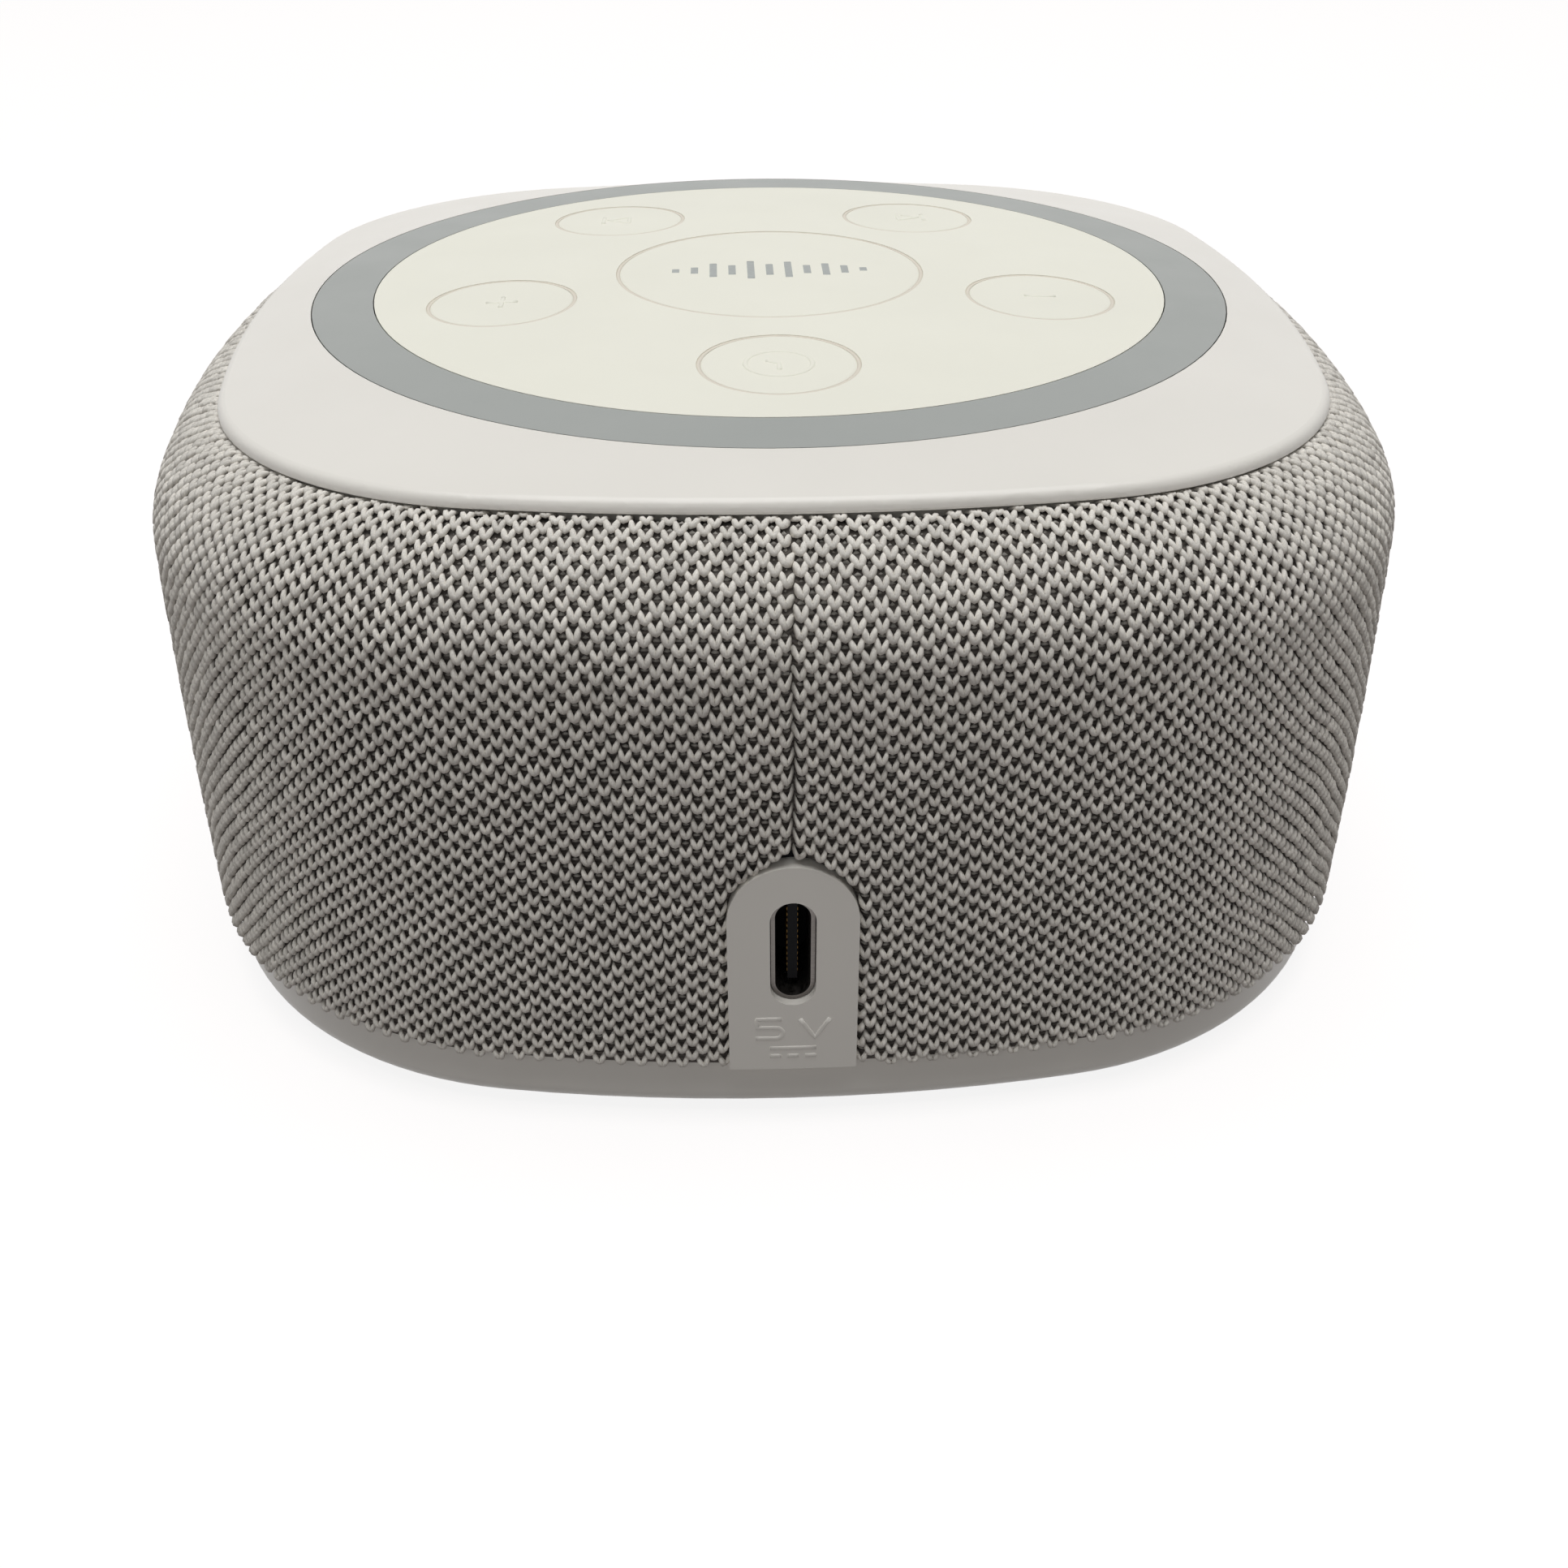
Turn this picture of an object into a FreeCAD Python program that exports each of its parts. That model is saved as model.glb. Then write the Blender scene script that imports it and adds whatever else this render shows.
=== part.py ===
import FreeCAD, Part
import math
import os

# White noise sound machine. Millimetres, +Z up, origin on the surface it stands on, under its centre.
# The front faces -Y and the socket is on the rear, +Y.

# Plan outline: four gently bowed sides joined by round corners
BODY_WIDTH = 101.2
SIDE_PLAN_RADIUS = 136.0
CORNER_RADIUS = 32.2

# Upright profile of the knit: a faintly bowed wall, then a round shoulder up to the cap
FOOT_PROUD = 0.8
RIM_HEIGHT = 4.9
WALL_HEIGHT = 32.3
WALL_BOW_RADIUS = 770.0
SHOULDER_RADIUS = 10.4
SHOULDER_ANGLE = 66.4

# Cap, light ring and panel
CAP_RISE = 3.5
DOME_RADIUS = 624.0
CAP_WALL = 1.6
CAP_BRIM_WALL = 1.1
CAP_LIP_HEIGHT = 0.75
LIP_RADIUS = 0.8
CAP_BAND_WIDTH = 5.55
RING_WIDTH = 4.9
RING_FLANGE_WIDTH = 0.9
RING_FLANGE_THICKNESS = 0.8
PANEL_SKIRT_THICKNESS = 0.7
PANEL_SKIRT_DEPTH = 1.4
SPIGOT_WALL = 1.2

# Buttons
SMALL_KEY_RADIUS = 5.9
KEY_TO_RING = 4.2
KEY_SPACING = 4.4
SMALL_KEYS = ["timer", "volume_down", "previous_sound", "next_sound", "volume_up"]
REAR_ANGLE = 90.0
KEY_GAP = 0.22
KEY_EDGE_RADIUS = 0.3
KEY_WALL = 1.2
KEY_FLANGE_WIDTH = 1.0
KEY_FLANGE_THICKNESS = 0.8
KEY_STEM_RADIUS = 2.0
KEY_STEM_PROUD = 0.2
KEY_TRAVEL = 0.5

# Switches under the buttons
SWITCH_WIDTH = 6.0
SWITCH_HEIGHT = 3.5
SWITCH_FLOOR = 0.9
PLUNGER_RADIUS = 1.75
PLUNGER_FIT = 0.05

# Clearances
MOVING_GAP = 0.3
SEAT_GAP = 0.05
FIT_GAP = 0.1
PANEL_GAP = 0.1
SCREW_FIT = 0.05
TOLERANCE = 0.01

# How far a cutter runs past what it cuts, and joined solids into each other
PAST = 1.0

# Share of the corner radius that the swept outer ring of the filled body takes up
SWEPT_SHARE = 0.9

# Knit and inner housing
KNIT_THICKNESS = 1.2
HOUSING_WALL = 1.8
LEDGE_THICKNESS = 1.5
LEDGE_WIDTH = 1.7
SEAM_WIDTH = 0.7
SEAM_DEPTH = 0.6
DECK_THICKNESS = 2.0
CHAMBER_HEIGHT = 8.4
SLOT_WIDTH = 3.0
SLOT_HEIGHT = 5.0
SLOT_PITCH = 7.0
SLOTS_PER_SIDE = 9
BOSS_RADIUS = 4.0
WEB_WIDTH = 3.0

# Base
RIM_INSET = 1.1
RIM_EDGE_RADIUS = 1.8
BASE_FLOOR = 2.0
BASE_SPIGOT_HEIGHT = 3.0
BASE_SPIGOT_WALL = 1.4
FOOT_RADIUS = 5.0
FOOT_RECESS = 1.0
FOOT_CORNER_MARGIN = 9.24
FOOT_EDGE_RADIUS = 0.4
LABEL_LENGTH = 42.0
LABEL_WIDTH = 18.0
LABEL_DEPTH = 0.3

# Socket and its plate
PLATE_WIDTH = 9.4
PLATE_HEIGHT = 18.15
PEAK_RISE = 1.3
PLATE_INSET = 0.1
PLATE_FLANGE_WIDTH = 1.4
PLATE_FLANGE_DEPTH = 0.7
SOCKET_HEIGHT_ABOVE_RIM = 10.65
SOCKET_WIDTH = 8.94
SOCKET_THICKNESS = 3.16
SOCKET_LENGTH = 7.35
SOCKET_WALL = 0.3
SOCKET_RECESS = 0.6
SOCKET_GAP = 0.07
TONGUE_WIDTH = 6.69
TONGUE_THICKNESS = 0.7
TONGUE_LENGTH = 4.45
CONTACTS_PER_FACE = 12
CONTACT_PITCH = 0.5
CONTACT_WIDTH = 0.25
CONTACT_LENGTH = 3.4
CONTACT_THICKNESS = 0.05
TONGUE_SETBACK = 1.0

# Circuit boards
BOARD_THICKNESS = 1.6
MAIN_BOARD_LENGTH = 54.0
MAIN_BOARD_WIDTH = 24.0
MAIN_BOARD_REAR_GAP = 4.0
STANDOFF_HEIGHT = 4.4
STANDOFF_RADIUS = 2.6
BOARD_SCREW_INSET = 3.0
PORT_BOARD_LENGTH = 20.0
PORT_BOARD_HEIGHT = 15.2
PORT_BOARD_THICKNESS = 1.2
HEADER_SIZE = (2.6, 9.0, 2.6)
CHIP_SIZES = [(7.0, 7.0, 1.0), (5.0, 4.0, 1.4), (5.0, 5.0, 0.9)]
CAPACITOR_RADIUS = 3.15
CAPACITOR_HEIGHT = 7.5
RIBBON_WIDTH = 12.0
RIBBON_THICKNESS = 0.3
RIBBON_END_INSET = 11.0
RIBBON_FRONT_INSET = 10.0
RIBBON_SLOT_GAP = 0.5
RIBBON_SOCKET = (14.0, 4.0, 2.5)
SPEAKER_SOCKET = (7.0, 4.4, 4.5)
SPEAKER_SOCKET_INSET = 5.4
WIRE_RADIUS = 0.6
WIRE_SPACING = 3.0
WIRE_BEND_RADIUS = 4.0
WIRE_BEND_SHARE = 0.9
CONTROL_BOARD_EDGE = 0.75
CONTROL_EAR_RADIUS = 2.3
CONTROL_SCREW_OUTSET = 1.5
CONTROL_SCREW_ANGLE = 28.0
CONTROL_BOSS_RADIUS = 2.0
LED_COUNT = 15
LED_SIZE = (3.0, 1.6, 1.0)
BAFFLE_WALL = 1.0
BAFFLE_FLOOR = 0.7
BAFFLE_LIFT = 1.3
BAFFLE_HOLE_RADIUS = 2.0

# Places on the main board: end (1 is the +X one), distance from that end, distance from the rear edge
CHIP_PLACES = [(-1, 18.0, 4.0), (-1, 6.0, 7.0), (1, 18.0, 15.0)]
CAPACITOR_PLACES = [(1, 15.2, 5.0), (1, 8.0, 5.0)]

# Screws: shank radius, head radius, head height
CASE_SCREW = (1.5, 2.8, 2.2)
CASE_SCREW_LENGTH = 12.0
SMALL_SCREW = (1.0, 1.9, 1.3)
SMALL_SCREW_LENGTH = 5.0
SCREW_SLOT_WIDTH = 0.6
SCREW_SLOT_DEPTH = 0.7
CAP_SCREW_CORNER_MARGIN = 4.53
CAP_BOSS_RADIUS = 2.1
LUG_WIDTH = 6.8
LUG_THICKNESS = 1.8
LUG_RISE = 1.3

# Loudspeaker under the deck, cone up
SPEAKER_BOARD_GAP = 4.0
SPEAKER_RADIUS = 27.0
SPEAKER_FLANGE_WIDTH = 4.6
SPEAKER_SCREWS = 4
SPEAKER_SCREW_INSET = 2.2
SPEAKER_SCREW_ANGLE = 45.0
SURROUND_WIDTH = 4.0
SURROUND_LIP = 0.8
SOFT_THICKNESS = 0.4
GASKET_THICKNESS = 0.8
BASKET_SHEET = 0.8
BASKET_DEPTH = 9.2
BASKET_FLOOR_RADIUS = 16.0
BASKET_WINDOWS = 6
BASKET_WINDOW_RADIUS = 2.2
TOP_PLATE_THICKNESS = 3.0
MAGNET_RADIUS = 18.0
MAGNET_THICKNESS = 5.0
MAGNET_BORE_RADIUS = 9.0
YOKE_THICKNESS = 2.6
POLE_RADIUS = 6.0
COIL_GAP = 0.3
COIL_THICKNESS = 0.4
COIL_DEPTH = 4.0
CONE_THICKNESS = 0.4
DUST_CAP_RADIUS = 7.6
DUST_CAP_RISE = 2.0
SPIDER_OUTER_RADIUS = 13.4
SPIDER_WAVES = 3
SPIDER_WAVE_HEIGHT = 0.8
TERMINAL_SIZE = (8.0, 2.0, 2.9)

# Plan sizes that follow from the sizes above
BODY_HALF = BODY_WIDTH / 2
SIDE_CENTRE_X = BODY_HALF - SIDE_PLAN_RADIUS
CORNER_CENTRE_REACH = SIDE_PLAN_RADIUS - CORNER_RADIUS
CORNER_CENTRE = (SIDE_CENTRE_X + math.sqrt(2 * CORNER_CENTRE_REACH ** 2 - SIDE_CENTRE_X ** 2)) / 2
CORNER_DIAGONAL = CORNER_CENTRE * math.sqrt(2) + CORNER_RADIUS
FOOT_DIAGONAL = CORNER_DIAGONAL - FOOT_CORNER_MARGIN

# Heights and radii that follow from the sizes above
BASE_Z = FOOT_PROUD
RIM_TOP_Z = BASE_Z + RIM_HEIGHT
FLOOR_Z = BASE_Z + BASE_FLOOR
WALL_LEAN = math.asin(WALL_HEIGHT / WALL_BOW_RADIUS)
WALL_CENTRE_X = BODY_HALF - WALL_BOW_RADIUS
SHOULDER_X = WALL_CENTRE_X + (WALL_BOW_RADIUS - SHOULDER_RADIUS) * math.cos(WALL_LEAN)
SHOULDER_CENTRE_Z = RIM_TOP_Z + (WALL_BOW_RADIUS - SHOULDER_RADIUS) * math.sin(WALL_LEAN)
CAP_ANGLE = math.radians(SHOULDER_ANGLE)
CAP_HALF = SHOULDER_X + SHOULDER_RADIUS * math.cos(CAP_ANGLE)
CAP_EDGE_Z = SHOULDER_CENTRE_Z + SHOULDER_RADIUS * math.sin(CAP_ANGLE)
TOP_Z = CAP_EDGE_Z + CAP_RISE
CAP_SCREW_DIAGONAL = CORNER_DIAGONAL - (BODY_HALF - CAP_HALF) - CAP_SCREW_CORNER_MARGIN
RING_OUTER_RADIUS = CAP_HALF - CAP_BAND_WIDTH
RING_INNER_RADIUS = RING_OUTER_RADIUS - RING_WIDTH
RING_EDGE_Z = TOP_Z - RING_OUTER_RADIUS ** 2 / (2 * DOME_RADIUS)
SMALL_KEY_PITCH_RADIUS = RING_INNER_RADIUS - KEY_TO_RING - SMALL_KEY_RADIUS
CENTRE_KEY_RADIUS = SMALL_KEY_PITCH_RADIUS - SMALL_KEY_RADIUS - KEY_SPACING
RING_FLANGE_RADIUS = RING_OUTER_RADIUS + RING_FLANGE_WIDTH
RING_FLANGE_TOP_Z = TOP_Z - RING_FLANGE_RADIUS ** 2 / (2 * DOME_RADIUS) - CAP_WALL - SEAT_GAP
PANEL_Z = RING_FLANGE_TOP_Z + SEAT_GAP
PANEL_RADIUS = RING_INNER_RADIUS - PANEL_GAP
KEY_FLANGE_TOP_Z = PANEL_Z - MOVING_GAP
KEY_SKIRT_Z = KEY_FLANGE_TOP_Z - KEY_FLANGE_THICKNESS
PLUNGER_TOP_Z = KEY_SKIRT_Z - KEY_STEM_PROUD
SWITCH_TOP_Z = PLUNGER_TOP_Z - KEY_TRAVEL - MOVING_GAP - SEAT_GAP
CONTROL_TOP_Z = SWITCH_TOP_Z - SWITCH_HEIGHT
CONTROL_BOTTOM_Z = CONTROL_TOP_Z - BOARD_THICKNESS
BAFFLE_TOP_Z = RING_FLANGE_TOP_Z - RING_FLANGE_THICKNESS - SEAT_GAP
BAFFLE_INNER_RADIUS = RING_INNER_RADIUS - BAFFLE_WALL - PANEL_SKIRT_THICKNESS - PANEL_GAP
BAFFLE_OUTER_RADIUS = RING_FLANGE_RADIUS + BAFFLE_WALL
CONTROL_BOARD_RADIUS = BAFFLE_OUTER_RADIUS + CONTROL_BOARD_EDGE
CONTROL_SCREW_RADIUS = CONTROL_BOARD_RADIUS + CONTROL_SCREW_OUTSET
LUG_TOP_Z = CONTROL_BOTTOM_Z + LUG_RISE
DECK_TOP_Z = CONTROL_BOTTOM_Z - CHAMBER_HEIGHT
DECK_Z = DECK_TOP_Z - DECK_THICKNESS
HOUSING_INSET = KNIT_THICKNESS + FIT_GAP
HOUSING_INNER_INSET = HOUSING_INSET + HOUSING_WALL
BASE_SPIGOT_INSET = HOUSING_INNER_INSET + FIT_GAP
CAVITY_INSET = BASE_SPIGOT_INSET + BASE_SPIGOT_WALL
LEDGE_OUTER_HALF = CAP_HALF - FIT_GAP - HOUSING_INSET * math.cos(CAP_ANGLE)
LEDGE_INNER_HALF = LEDGE_OUTER_HALF - LEDGE_WIDTH
SPIGOT_OUTER_HALF = LEDGE_INNER_HALF + SPIGOT_WALL
HOUSING_TOP_Z = SHOULDER_CENTRE_Z + (SHOULDER_RADIUS - HOUSING_INNER_INSET) * math.sin(CAP_ANGLE)
LEDGE_TOP_Z = HOUSING_TOP_Z + SPIGOT_WALL / 2
MAIN_BOARD_REAR_Y = BODY_HALF - CAVITY_INSET - MAIN_BOARD_REAR_GAP
MAIN_BOARD_FRONT_Y = MAIN_BOARD_REAR_Y - MAIN_BOARD_WIDTH
RIBBON_X = RIBBON_END_INSET - MAIN_BOARD_LENGTH / 2
RIBBON_Y = MAIN_BOARD_FRONT_Y + RIBBON_FRONT_INSET
SPEAKER_SOCKET_Y = MAIN_BOARD_FRONT_Y + SPEAKER_SOCKET_INSET
SPEAKER_Y = MAIN_BOARD_FRONT_Y - MAGNET_RADIUS - SPEAKER_BOARD_GAP
SPEAKER_SCREW_RADIUS = SPEAKER_RADIUS - SPEAKER_SCREW_INSET
SURROUND_OUTER_RADIUS = SPEAKER_RADIUS - SPEAKER_FLANGE_WIDTH
SURROUND_INNER_RADIUS = SURROUND_OUTER_RADIUS - SURROUND_WIDTH
MAIN_BOARD_Z = FLOOR_Z + STANDOFF_HEIGHT
MAIN_TOP_Z = MAIN_BOARD_Z + BOARD_THICKNESS
SOCKET_Z = RIM_TOP_Z + SOCKET_HEIGHT_ABOVE_RIM
PLATE_TOP_Z = RIM_TOP_Z + PLATE_HEIGHT
GASKET_Z = DECK_Z - GASKET_THICKNESS
SPEAKER_FLANGE_Z = GASKET_Z - BASKET_SHEET
BASKET_FLOOR_Z = SPEAKER_FLANGE_Z - BASKET_DEPTH
TOP_PLATE_Z = BASKET_FLOOR_Z - TOP_PLATE_THICKNESS
MAGNET_Z = TOP_PLATE_Z - MAGNET_THICKNESS
YOKE_Z = MAGNET_Z - YOKE_THICKNESS
COIL_INNER_RADIUS = POLE_RADIUS + COIL_GAP
COIL_OUTER_RADIUS = COIL_INNER_RADIUS + COIL_THICKNESS
CONE_NECK_Z = BASKET_FLOOR_Z + BASKET_DEPTH / 3
CONE_RIM_Z = SPEAKER_FLANGE_Z

CORNER_SIGNS = [(1, 1), (-1, 1), (-1, -1), (1, -1)]


def vec(x, y, z):
    return FreeCAD.Vector(x, y, z)


def export(name, solids):
    """Write one node, as a single solid or as a group of separate solids."""
    if isinstance(solids, list):
        shape = solids[0] if len(solids) == 1 else Part.makeCompound(solids)
    else:
        shape = solids
    shape.exportStep(os.path.join("parts", name + ".step"))


def box(low, high):
    size = [b - a for a, b in zip(low, high)]
    return Part.makeBox(size[0], size[1], size[2], vec(*low))


def block(centre_x, centre_y, low_z, size):
    """A box on a surface at low_z, centred in plan."""
    length, width, height = size
    return Part.makeBox(length, width, height, vec(centre_x - length / 2, centre_y - width / 2, low_z))


def rod(x, y, low_z, high_z, radius):
    return Part.makeCylinder(radius, high_z - low_z, vec(x, y, low_z))


def tube(x, y, low_z, high_z, inner, outer):
    return rod(x, y, low_z, high_z, outer).cut(rod(x, y, low_z, high_z, inner))


def merged(solids):
    return solids[0].multiFuse(solids[1:]).removeSplitter()


def without(solid, cutters):
    return solid.cut(cutters)


def turned(profile, x, y):
    """Revolve a closed profile of (radius, height) points and (middle, end) arcs about an upright axis."""
    edges = []
    start = profile[0]
    for step in profile[1:] + [profile[0]]:
        if isinstance(step[0], tuple):
            middle, end = step
            ends = [vec(p[0], 0, p[1]) for p in (start, middle, end)]
            edges.append(Part.Arc(*ends).toShape())
            start = end
        else:
            edges.append(Part.LineSegment(vec(start[0], 0, start[1]), vec(step[0], 0, step[1])).toShape())
            start = step
    face = Part.Face(Part.Wire(edges))
    solid = face.revolve(vec(0, 0, 0), vec(0, 0, 1), 360)
    return solid.translated(vec(x, y, 0))


def plan_outline(half, z):
    """Closed plan outline, half wide from the centre to the middle of a side, as tangent arcs."""
    inset = BODY_HALF - half
    spread = math.atan2(CORNER_CENTRE, CORNER_CENTRE - SIDE_CENTRE_X)

    def arc(centre, radius, first, last):
        angles = (first, (first + last) / 2, last)
        points = [vec(centre[0] + radius * math.cos(a), centre[1] + radius * math.sin(a), z) for a in angles]
        return Part.Arc(*points).toShape()

    edges = []
    for quarter in range(4):
        turn = quarter * math.pi / 2
        side = (SIDE_CENTRE_X * math.cos(turn), SIDE_CENTRE_X * math.sin(turn))
        bend_x = CORNER_CENTRE * (math.cos(turn) - math.sin(turn))
        bend_y = CORNER_CENTRE * (math.sin(turn) + math.cos(turn))
        first = turn if quarter == 0 else turn - spread
        edges.append(arc(side, SIDE_PLAN_RADIUS - inset, first, turn + spread))
        last = turn + math.pi / 2 - spread
        edges.append(arc((bend_x, bend_y), CORNER_RADIUS - inset, turn + spread, last))
    edges.append(arc((SIDE_CENTRE_X, 0), SIDE_PLAN_RADIUS - inset, -spread, 0))
    return Part.Wire(edges)


def facing_circle(outline, radius, z):
    """A circle in as many arcs as the outline, each arc opposite one of the outline's own."""

    def inward(point):
        share = radius / math.hypot(point.x, point.y)
        return vec(point.x * share, point.y * share, z)

    edges = []
    for edge in outline.Edges:
        first, last = edge.ParameterRange
        points = [inward(edge.valueAt(p)) for p in (first, (first + last) / 2, last)]
        edges.append(Part.Arc(*points).toShape())
    return Part.Wire(edges)


def plan_prism(half, low_z, high_z):
    return Part.Face(plan_outline(half, low_z)).extrude(vec(0, 0, high_z - low_z))


def plan_ring(outer_half, inner_half, low_z, high_z):
    return plan_prism(outer_half, low_z, high_z).cut(plan_prism(inner_half, low_z, high_z))


def wall_x(z, inset):
    """Distance of the bowed wall from the centre plane, at height z."""
    radius = WALL_BOW_RADIUS - inset
    return WALL_CENTRE_X + math.sqrt(radius ** 2 - (z - RIM_TOP_Z) ** 2)


def wall_point(angle, inset):
    radius = WALL_BOW_RADIUS - inset
    return vec(WALL_CENTRE_X + radius * math.cos(angle), 0, RIM_TOP_Z + radius * math.sin(angle))


def shoulder_point(angle, inset):
    radius = SHOULDER_RADIUS - inset
    return vec(SHOULDER_X + radius * math.cos(angle), 0, SHOULDER_CENTRE_Z + radius * math.sin(angle))


def skin_edges(inset, last_angle):
    """Wall arc and shoulder arc, from the rim up, set in from the outside of the knit."""
    wall = [wall_point(a, inset) for a in (0, WALL_LEAN / 2, WALL_LEAN)]
    shoulder = [shoulder_point(a, inset) for a in (WALL_LEAN, (WALL_LEAN + last_angle) / 2, last_angle)]
    return [Part.Arc(*wall).toShape(), Part.Arc(*shoulder).toShape()], wall[0], shoulder[2]


def swept_round(edges):
    """Carry an upright profile round the plan outline."""
    spine = plan_outline(BODY_HALF, 0)
    return spine.makePipeShell([Part.Wire(Part.__sortEdges__(edges))], True, False)


def skin(outer_inset, inner_inset, last_angle):
    outer, outer_foot, outer_end = skin_edges(outer_inset, last_angle)
    inner, inner_foot, inner_end = skin_edges(inner_inset, last_angle)
    top = Part.LineSegment(outer_end, inner_end).toShape()
    foot = Part.LineSegment(inner_foot, outer_foot).toShape()
    return swept_round(outer + inner + [top, foot])


def core(inset):
    """The whole body filled in, set in from the outside of the knit, from the rim to the cap's edge."""
    edges, foot, end = skin_edges(inset, CAP_ANGLE)
    well_x = BODY_HALF - CORNER_RADIUS * SWEPT_SHARE
    top = vec(well_x, 0, end.z)
    bottom = vec(well_x, 0, foot.z)
    closing = [(end, top), (top, bottom), (bottom, foot)]
    ring = swept_round(edges + [Part.LineSegment(a, b).toShape() for a, b in closing])
    middle = plan_prism(well_x + PAST, foot.z, end.z)
    return ring.fuse(middle).removeSplitter()


def dome(drop):
    """A large ball whose top is the cap's crown, lowered by drop."""
    return Part.makeSphere(DOME_RADIUS, vec(0, 0, TOP_Z - DOME_RADIUS - drop))


def brim(foot_z, drop):
    """The cap's band filled in down to foot_z: a low lip, then a slope up to the ring, lowered by drop."""
    lip_z = CAP_EDGE_Z + CAP_LIP_HEIGHT - drop
    lip = plan_outline(CAP_HALF, lip_z)
    circle = facing_circle(lip, RING_OUTER_RADIUS + PANEL_GAP, RING_EDGE_Z - drop)
    return merged([plan_prism(CAP_HALF, foot_z, lip_z), Part.makeLoft([lip, circle], True, True)])


def ring_places(count, radius, first_angle):
    angles = [math.radians(first_angle + 360.0 * i / count) for i in range(count)]
    return [(radius * math.cos(a), radius * math.sin(a)) for a in angles]


def corner_places(diagonal):
    reach = diagonal / math.sqrt(2)
    return [(sx * reach, sy * reach) for sx, sy in CORNER_SIGNS]


def control_screw_places():
    angle = math.radians(CONTROL_SCREW_ANGLE)
    x = CONTROL_SCREW_RADIUS * math.cos(angle)
    y = CONTROL_SCREW_RADIUS * math.sin(angle)
    return [(sx * x, sy * y) for sx, sy in CORNER_SIGNS]


def speaker_screw_places():
    places = ring_places(SPEAKER_SCREWS, SPEAKER_SCREW_RADIUS, SPEAKER_SCREW_ANGLE)
    return [(x, y + SPEAKER_Y) for x, y in places]


def key_places():
    small = ring_places(len(SMALL_KEYS), SMALL_KEY_PITCH_RADIUS, REAR_ANGLE)
    places = {name: (x, y, SMALL_KEY_RADIUS) for name, (x, y) in zip(SMALL_KEYS, small)}
    places["power"] = (0.0, 0.0, CENTRE_KEY_RADIUS)
    return places


def screw(x, y, seat_z, length, sizes, up=True):
    """A screw whose head bears on seat_z, with its shank going up or down from there."""
    shank_radius, head_radius, head_height = sizes
    sign = 1 if up else -1
    shank = Part.makeCylinder(shank_radius, length, vec(x, y, seat_z), vec(0, 0, sign))
    head = Part.makeCylinder(head_radius, head_height, vec(x, y, seat_z), vec(0, 0, -sign))
    outer_z = seat_z - sign * head_height
    slot_low = min(outer_z, outer_z + sign * SCREW_SLOT_DEPTH)
    slots = [
        block(x, y, slot_low, (2 * shank_radius, SCREW_SLOT_WIDTH, SCREW_SLOT_DEPTH)),
        block(x, y, slot_low, (SCREW_SLOT_WIDTH, 2 * shank_radius, SCREW_SLOT_DEPTH)),
    ]
    return without(shank.fuse(head).removeSplitter(), slots)


def stadium(width, height, low_y, length, centre_z):
    """An upright slot shape of the given width and height, running along Y."""
    radius = width / 2
    reach = height / 2 - radius
    ends = [
        Part.makeCylinder(radius, length, vec(0, low_y, centre_z + side * reach), vec(0, 1, 0))
        for side in (1, -1)
    ]
    middle = box((-radius, low_y, centre_z - reach), (radius, low_y + length, centre_z + reach))
    return merged([middle] + ends)


def arch(half_width, low_y, high_y, low_z, top_z):
    """An upright plate with a half-round top."""
    crown_z = top_z - half_width
    slab = box((-half_width, low_y, low_z), (half_width, high_y, crown_z))
    crown = Part.makeCylinder(half_width, high_y - low_y, vec(0, low_y, crown_z), vec(0, 1, 0))
    return slab.fuse(crown).removeSplitter()


def plate_opening(gap):
    """The space that the socket's plate takes out of the wall, with a gap all round."""
    half = PLATE_WIDTH / 2 + gap
    return arch(half, BODY_HALF / 2, BODY_HALF + PAST, RIM_TOP_Z - PAST, PLATE_TOP_Z + gap)


def knit_peak():
    """The point that the knit's opening runs up to over the plate, under the seam."""
    radius = PLATE_WIDTH / 2 + FIT_GAP
    centre_z = PLATE_TOP_Z - PLATE_WIDTH / 2
    apex_z = PLATE_TOP_Z + PEAK_RISE
    turn = math.acos(radius / (apex_z - centre_z))
    side_x = radius * math.sin(turn)
    side_z = centre_z + radius * math.cos(turn)
    outline = [(0, centre_z), (side_x, side_z), (0, apex_z), (-side_x, side_z), (0, centre_z)]
    face = Part.Face(Part.makePolygon([vec(x, BODY_HALF / 2, z) for x, z in outline]))
    return face.extrude(vec(0, BODY_HALF, 0))


# Case


def knit_sleeve():
    sleeve = skin(0, KNIT_THICKNESS, CAP_ANGLE - FIT_GAP / SHOULDER_RADIUS)
    sleeve = sleeve.cut([plate_opening(FIT_GAP), knit_peak()])
    half = SEAM_WIDTH / 2
    strip = box((-half, 0, PLATE_TOP_Z), (half, BODY_HALF + PAST, CAP_EDGE_Z + PAST))
    return sleeve.cut(strip.cut(core(SEAM_DEPTH)))


def sound_slots():
    """Upright slot cutters through all four walls, over the deck, that stop short of what is inside."""
    low_z = DECK_TOP_Z + (CHAMBER_HEIGHT - SLOT_HEIGHT) / 3
    middle = plan_prism(wall_x(DECK_TOP_Z, HOUSING_INNER_INSET + HOUSING_WALL), RIM_TOP_Z, CAP_EDGE_Z)
    slots = []
    for i in range(SLOTS_PER_SIDE):
        along = (i - (SLOTS_PER_SIDE - 1) / 2) * SLOT_PITCH
        slots.append(block(along, 0, low_z, (SLOT_WIDTH, BODY_WIDTH, SLOT_HEIGHT)).cut(middle))
        slots.append(block(0, along, low_z, (BODY_WIDTH, SLOT_WIDTH, SLOT_HEIGHT)).cut(middle))
    return slots


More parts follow.
